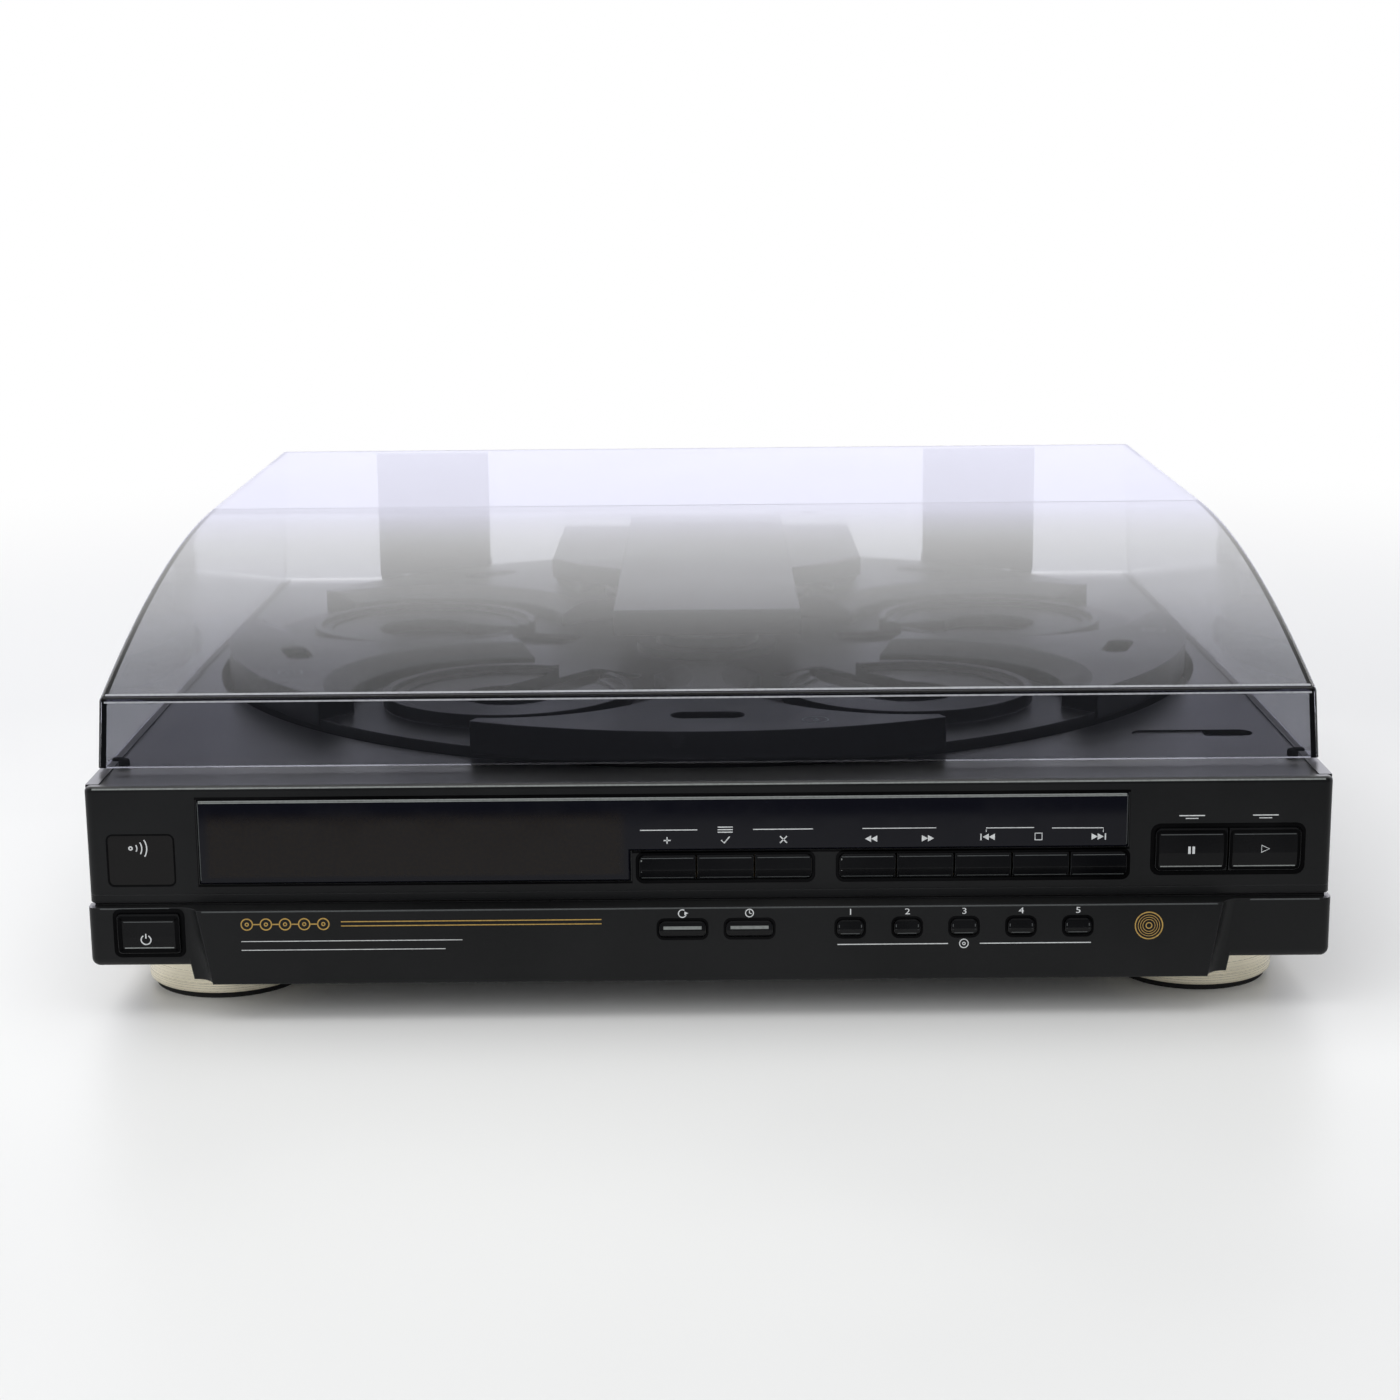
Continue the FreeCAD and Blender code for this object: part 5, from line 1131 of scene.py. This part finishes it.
numbers = []
for block, text in block_numbers.items():
    spin = math.radians(block + number_step)
    drawing = ring(0.0, 0.0, 4.6, 0.55, steps=32) + numeral(text, 0.0, 0.0, 4.2, 1.1)
    sine, cosine = math.sin(spin + math.pi / 2), math.cos(spin + math.pi / 2)
    middle_u = carousel_centre.x + number_radius * math.cos(spin)
    middle_v = carousel_centre.y + number_radius * math.sin(spin)
    numbers += [[(middle_u + u * cosine - v * sine, middle_v + u * sine + v * cosine) for u, v in polygon]
                for polygon in drawing]
print_marks("carousel_numbers", numbers, "faint_ink", surface_of("carousel"),
            "carousel_unit", from_above, (0, 0, -1))

# %% [markdown]
# Feet, screws and pads repeat, so Geometry Nodes place them. One template is copied to every point
# of a small mesh, and each point carries its own turn and size. The tree then realizes the copies,
# because the exporter drops instances, and the result is kept as one plain mesh.

# %% Geometry Nodes helpers
smooth_below = math.radians(35.0)


def carried(tree, label, kind):
    """A value that each point of the mesh carries."""
    node = add(tree, "GeometryNodeInputNamedAttribute", {"Name": label}, data_type=kind)
    return next(socket for socket in node.outputs if socket.enabled)


def copying_tree(name, template, finish):
    """Copies a template to every point, turned and scaled by what the point carries, and realized."""
    tree = bpy.data.node_groups.new(name, "GeometryNodeTree")
    for label, way, kind in (("Geometry", "INPUT", "NodeSocketGeometry"), ("Scale", "INPUT", FLOAT),
                             ("Geometry", "OUTPUT", "NodeSocketGeometry")):
        tree.interface.new_socket(label, in_out=way, socket_type=kind)
    given, result = tree.nodes.new("NodeGroupInput").outputs, tree.nodes.new("NodeGroupOutput").inputs
    info = add(tree, "GeometryNodeObjectInfo", {"Object": template})
    turned = add(tree, "FunctionNodeEulerToRotation", {0: carried(tree, "turn", "FLOAT_VECTOR")})
    size = times(tree, carried(tree, "size", "FLOAT"), given["Scale"])
    copies = add(tree, "GeometryNodeInstanceOnPoints",
                 {"Points": given["Geometry"], "Instance": info.outputs["Geometry"],
                  "Rotation": turned.outputs[0], "Scale": size})
    real = add(tree, "GeometryNodeRealizeInstances", {0: copies.outputs[0]})
    coated = add(tree, "GeometryNodeSetMaterial", {"Geometry": real.outputs[0], "Material": finishes[finish]})
    tree.links.new(coated.outputs[0], result["Geometry"])
    return tree


def points_mesh(name, spots):
    """One point for each place, turn and size."""
    mesh = bpy.data.meshes.new(name)
    places, turns, sizes = zip(*spots)
    mesh.from_pydata(places, [], [])
    mesh.attributes.new("turn", "FLOAT_VECTOR", "POINT")
    mesh.attributes["turn"].data.foreach_set("vector", [value for turn in turns for value in turn])
    mesh.attributes.new("size", "FLOAT", "POINT")
    mesh.attributes["size"].data.foreach_set("value", sizes)
    return mesh


def copies_of(shape, name, spots, finish, body, stands_for=(), scale=1.0):
    """Copies a shape to the spots, keeps the result as a plain mesh and gives it its body."""
    for face in shape.faces:
        face.smooth = True
    template = link_mesh(name + "_template", shape)
    template.data.set_sharp_from_angle(angle=smooth_below)
    source = bpy.data.objects.new(name + "_points", points_mesh(name + "_at", spots))
    scene.collection.objects.link(source)
    run = source.modifiers.new(name, "NODES")
    run.node_group = copying_tree(name, template, finish)
    size_input = next(item for item in run.node_group.interface.items_tree if item.name == "Scale")
    run[size_input.identifier] = scale
    plain = final_mesh(source)
    plain.name = name
    if not plain.materials:
        plain.materials.append(finishes[finish])
    for spent in (source, template):
        bpy.data.objects.remove(spent)
    made = bpy.data.objects.new(name, plain)
    scene.collection.objects.link(made)
    place_piece(made, body, stands_for)


def turned_shape(profile, steps, closed=True):
    """A profile of (radius, height) points spun about Z, as on a lathe."""
    shape = bmesh.new()
    chain = [shape.verts.new((radius, 0.0, height)) for radius, height in profile]
    edges = [shape.edges.new((chain[i - 1], chain[i])) for i in range(0 if closed else 1, len(chain))]
    bmesh.ops.spin(shape, geom=chain + edges, cent=(0, 0, 0), axis=(0, 0, 1), angle=math.tau, steps=steps,
                   use_merge=True)
    bmesh.ops.remove_doubles(shape, verts=shape.verts, dist=weld)
    bmesh.ops.recalc_face_normals(shape, faces=shape.faces)
    return shape


# %% [markdown]
# A foot is a ring of gold anodised aluminium. Its section is drawn as a closed chain: a rounded lower
# edge, a fine groove below the top, and the wall's inside. It is spun about its own axis, as a Screw
# modifier would do, but with nothing left over to clear away.

# %% Turned feet
foot_wall, foot_edge, foot_groove = 0.0035, 0.0012, 0.0005
upright = (0.0, 0.0, 0.0)


def foot_profile():
    outer, inner, low, top = foot_radius, foot_radius - foot_wall, feet_low.z, feet_high.z
    points = [(inner, low), (outer - foot_edge, low)]
    points += [(outer - foot_edge + foot_edge * math.sin(math.radians(a)),
                low + foot_edge - foot_edge * math.cos(math.radians(a))) for a in (30, 60, 90)]
    points += [(outer, top - 0.0040), (outer - foot_groove, top - 0.0036),
               (outer - foot_groove, top - 0.0028), (outer, top - 0.0024), (outer, top), (inner, top)]
    return points


feet = [((side * foot_half_x, foot_middle_y + end * foot_half_y, 0.0), upright, 1.0)
        for end in (-1, 1) for side in (-1, 1)]
copies_of(turned_shape(foot_profile(), 72), "turned_feet", feet, "champagne_metal", "cabinet",
          ["foot_rings"])

# %% [markdown]
# Screw heads are turned too, but a real one has a cross recess. The recess is an outline of twelve
# corners, the flat of the head is filled between it and the rim, and the outline is pushed down.

# %% Cross head screws
head_radius, head_height, head_sides = 0.0032, 0.0018, 32
recess_arm, recess_half, recess_depth = 0.0019, 0.00045, 0.0010


def cross_head():
    """A screw head that stands on z = 0, with a cross recess in its flat."""
    shape = bmesh.new()
    corners_round = [math.tau * i / head_sides for i in range(head_sides)]
    levels = ((head_radius, 0.0), (head_radius, head_height * 0.45), (head_radius * 0.82, head_height))
    rings = [[shape.verts.new((radius * math.cos(turn), radius * math.sin(turn), height))
              for turn in corners_round] for radius, height in levels]
    for lower, upper in zip(rings, rings[1:]):
        for i in range(head_sides):
            shape.faces.new((lower[i - 1], lower[i], upper[i], upper[i - 1]))
    shape.faces.new(rings[0][::-1])
    a, h = recess_arm, recess_half
    quarter = [(a, -h), (a, h), (h, h)]
    corners = []
    for _ in range(4):
        corners += quarter
        quarter = [(-y, x) for x, y in quarter]
    mouth = [shape.verts.new((x, y, head_height)) for x, y in corners]
    floor = [shape.verts.new((0.8 * x, 0.8 * y, head_height - recess_depth)) for x, y in corners]
    for i in range(len(corners)):
        shape.faces.new((mouth[i - 1], mouth[i], floor[i], floor[i - 1]))
    shape.faces.new(floor)
    rim = [shape.edges.get((loop[i - 1], loop[i])) for loop in (rings[2], mouth) for i in range(len(loop))]
    bmesh.ops.triangle_fill(shape, use_beauty=True, edges=rim)
    bmesh.ops.recalc_face_normals(shape, faces=shape.faces)
    return shape


screws_low, screws_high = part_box("screws")
rear_face = screws_high.y - head_height
panel_row = screws_high.z - head_radius
rear_outer, rear_inner = screws_high.x - head_radius, 0.060
under_half, under_z = 0.120, screws_low.z + head_height
under_front = screws_low.y + head_radius
under_rear = rear_face - (under_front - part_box("front_bezel")[0].y)
post_ring, post_flange, post_size = 0.0136, 0.040, 0.0022 / head_radius
backwards, downwards = -math.pi / 2, math.pi


def screw_spots():
    """Place, turn and size of every head: rear panel, underside, and the carousel post's flange."""
    spots = []
    for x in (-rear_outer, -rear_inner, rear_inner, rear_outer):
        spots.append(((x, rear_face, panel_row), (backwards, 9.0 * x, 0.0), 1.0))
    for x in (-under_half, under_half):
        for y in (under_front, under_rear):
            spots.append(((x, y, under_z), (downwards, 0.0, 7.0 * (x + y)), 1.0))
    for degrees in (45.0, 165.0, 285.0):
        turn = math.radians(degrees)
        place = (post_ring * math.cos(turn), carousel_centre.y * MM + post_ring * math.sin(turn), post_flange)
        spots.append((place, (0.0, 0.0, 2.0 * turn), post_size))
    return spots


copies_of(cross_head(), "cross_head_screws", screw_spots(), "bright_steel", "cabinet",
          ["screws"])

# %% [markdown]
# The two line out jacks have coloured collars, red for right and white for left, and the lid comes
# to rest on a small rubber pad at each front corner. Both are turned shapes.

# %% Jack collars and lid pads
jacks_low, jacks_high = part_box("audio_jacks")
jack_side, jack_bore, collar_radius, collar_depth, collar_edge = 0.010, 0.0042, 0.0058, 0.0013, 0.0004
collar_profile = [(jack_bore, 0.0), (collar_radius, 0.0), (collar_radius, collar_depth * 0.7),
                  (collar_radius - collar_edge, collar_depth), (jack_bore, collar_depth)]
for name, jack_x in (("jack_red", jacks_low.x + jack_side), ("jack_white", jacks_high.x - jack_side)):
    place = (jack_x, rear_face, (jacks_low.z + jacks_high.z) / 2)
    copies_of(turned_shape(collar_profile, 40), name + "_collar", [(place, (backwards, 0.0, 0.0), 1.0)], name,
              "cabinet")

pads_low, pads_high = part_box("lid_bumpers")
pad_reach, pad_radius, pad_height = 0.0040, 0.0020, 0.0027
pad_profile = [(pad_radius * out, pad_height * up) for out, up in ((0.0, 0.0), (1.0, 0.0), (1.0, 0.6),
                                                                   (0.85, 0.85), (0.5, 0.97), (0.0, 1.0))]
tab_width, tab_depth, tab_below, tab_softness = 0.0026, 0.0010, 0.0004, 0.0002


def lid_pad():
    """A rubber dome on z = 0, with the tab that holds it to the lid's side wall along +X."""
    shape = turned_shape(pad_profile, 32, closed=False)
    tab = Matrix.Translation((pad_reach / 2, 0.0, pad_height - tab_below)) @ Matrix.Diagonal(
        (pad_reach, tab_width, tab_depth, 1.0))
    made = bmesh.ops.create_cube(shape, size=1.0, matrix=tab)
    edges = {edge for vert in made["verts"] for edge in vert.link_edges}
    bmesh.ops.bevel(shape, geom=list(edges), offset=tab_softness, segments=2, affect="EDGES")
    return shape


pad_x, pad_y = pads_high.x - pad_reach, (pads_low.y + pads_high.y) / 2
pads_at = [((side * pad_x, pad_y, pads_low.z), (0.0, 0.0, turn), 1.0)
           for side, turn in ((1, 0.0), (-1, math.pi))]
copies_of(lid_pad(), "lid_rest_pads", pads_at, "black_rubber", "lid_unit", ["lid_bumpers"])
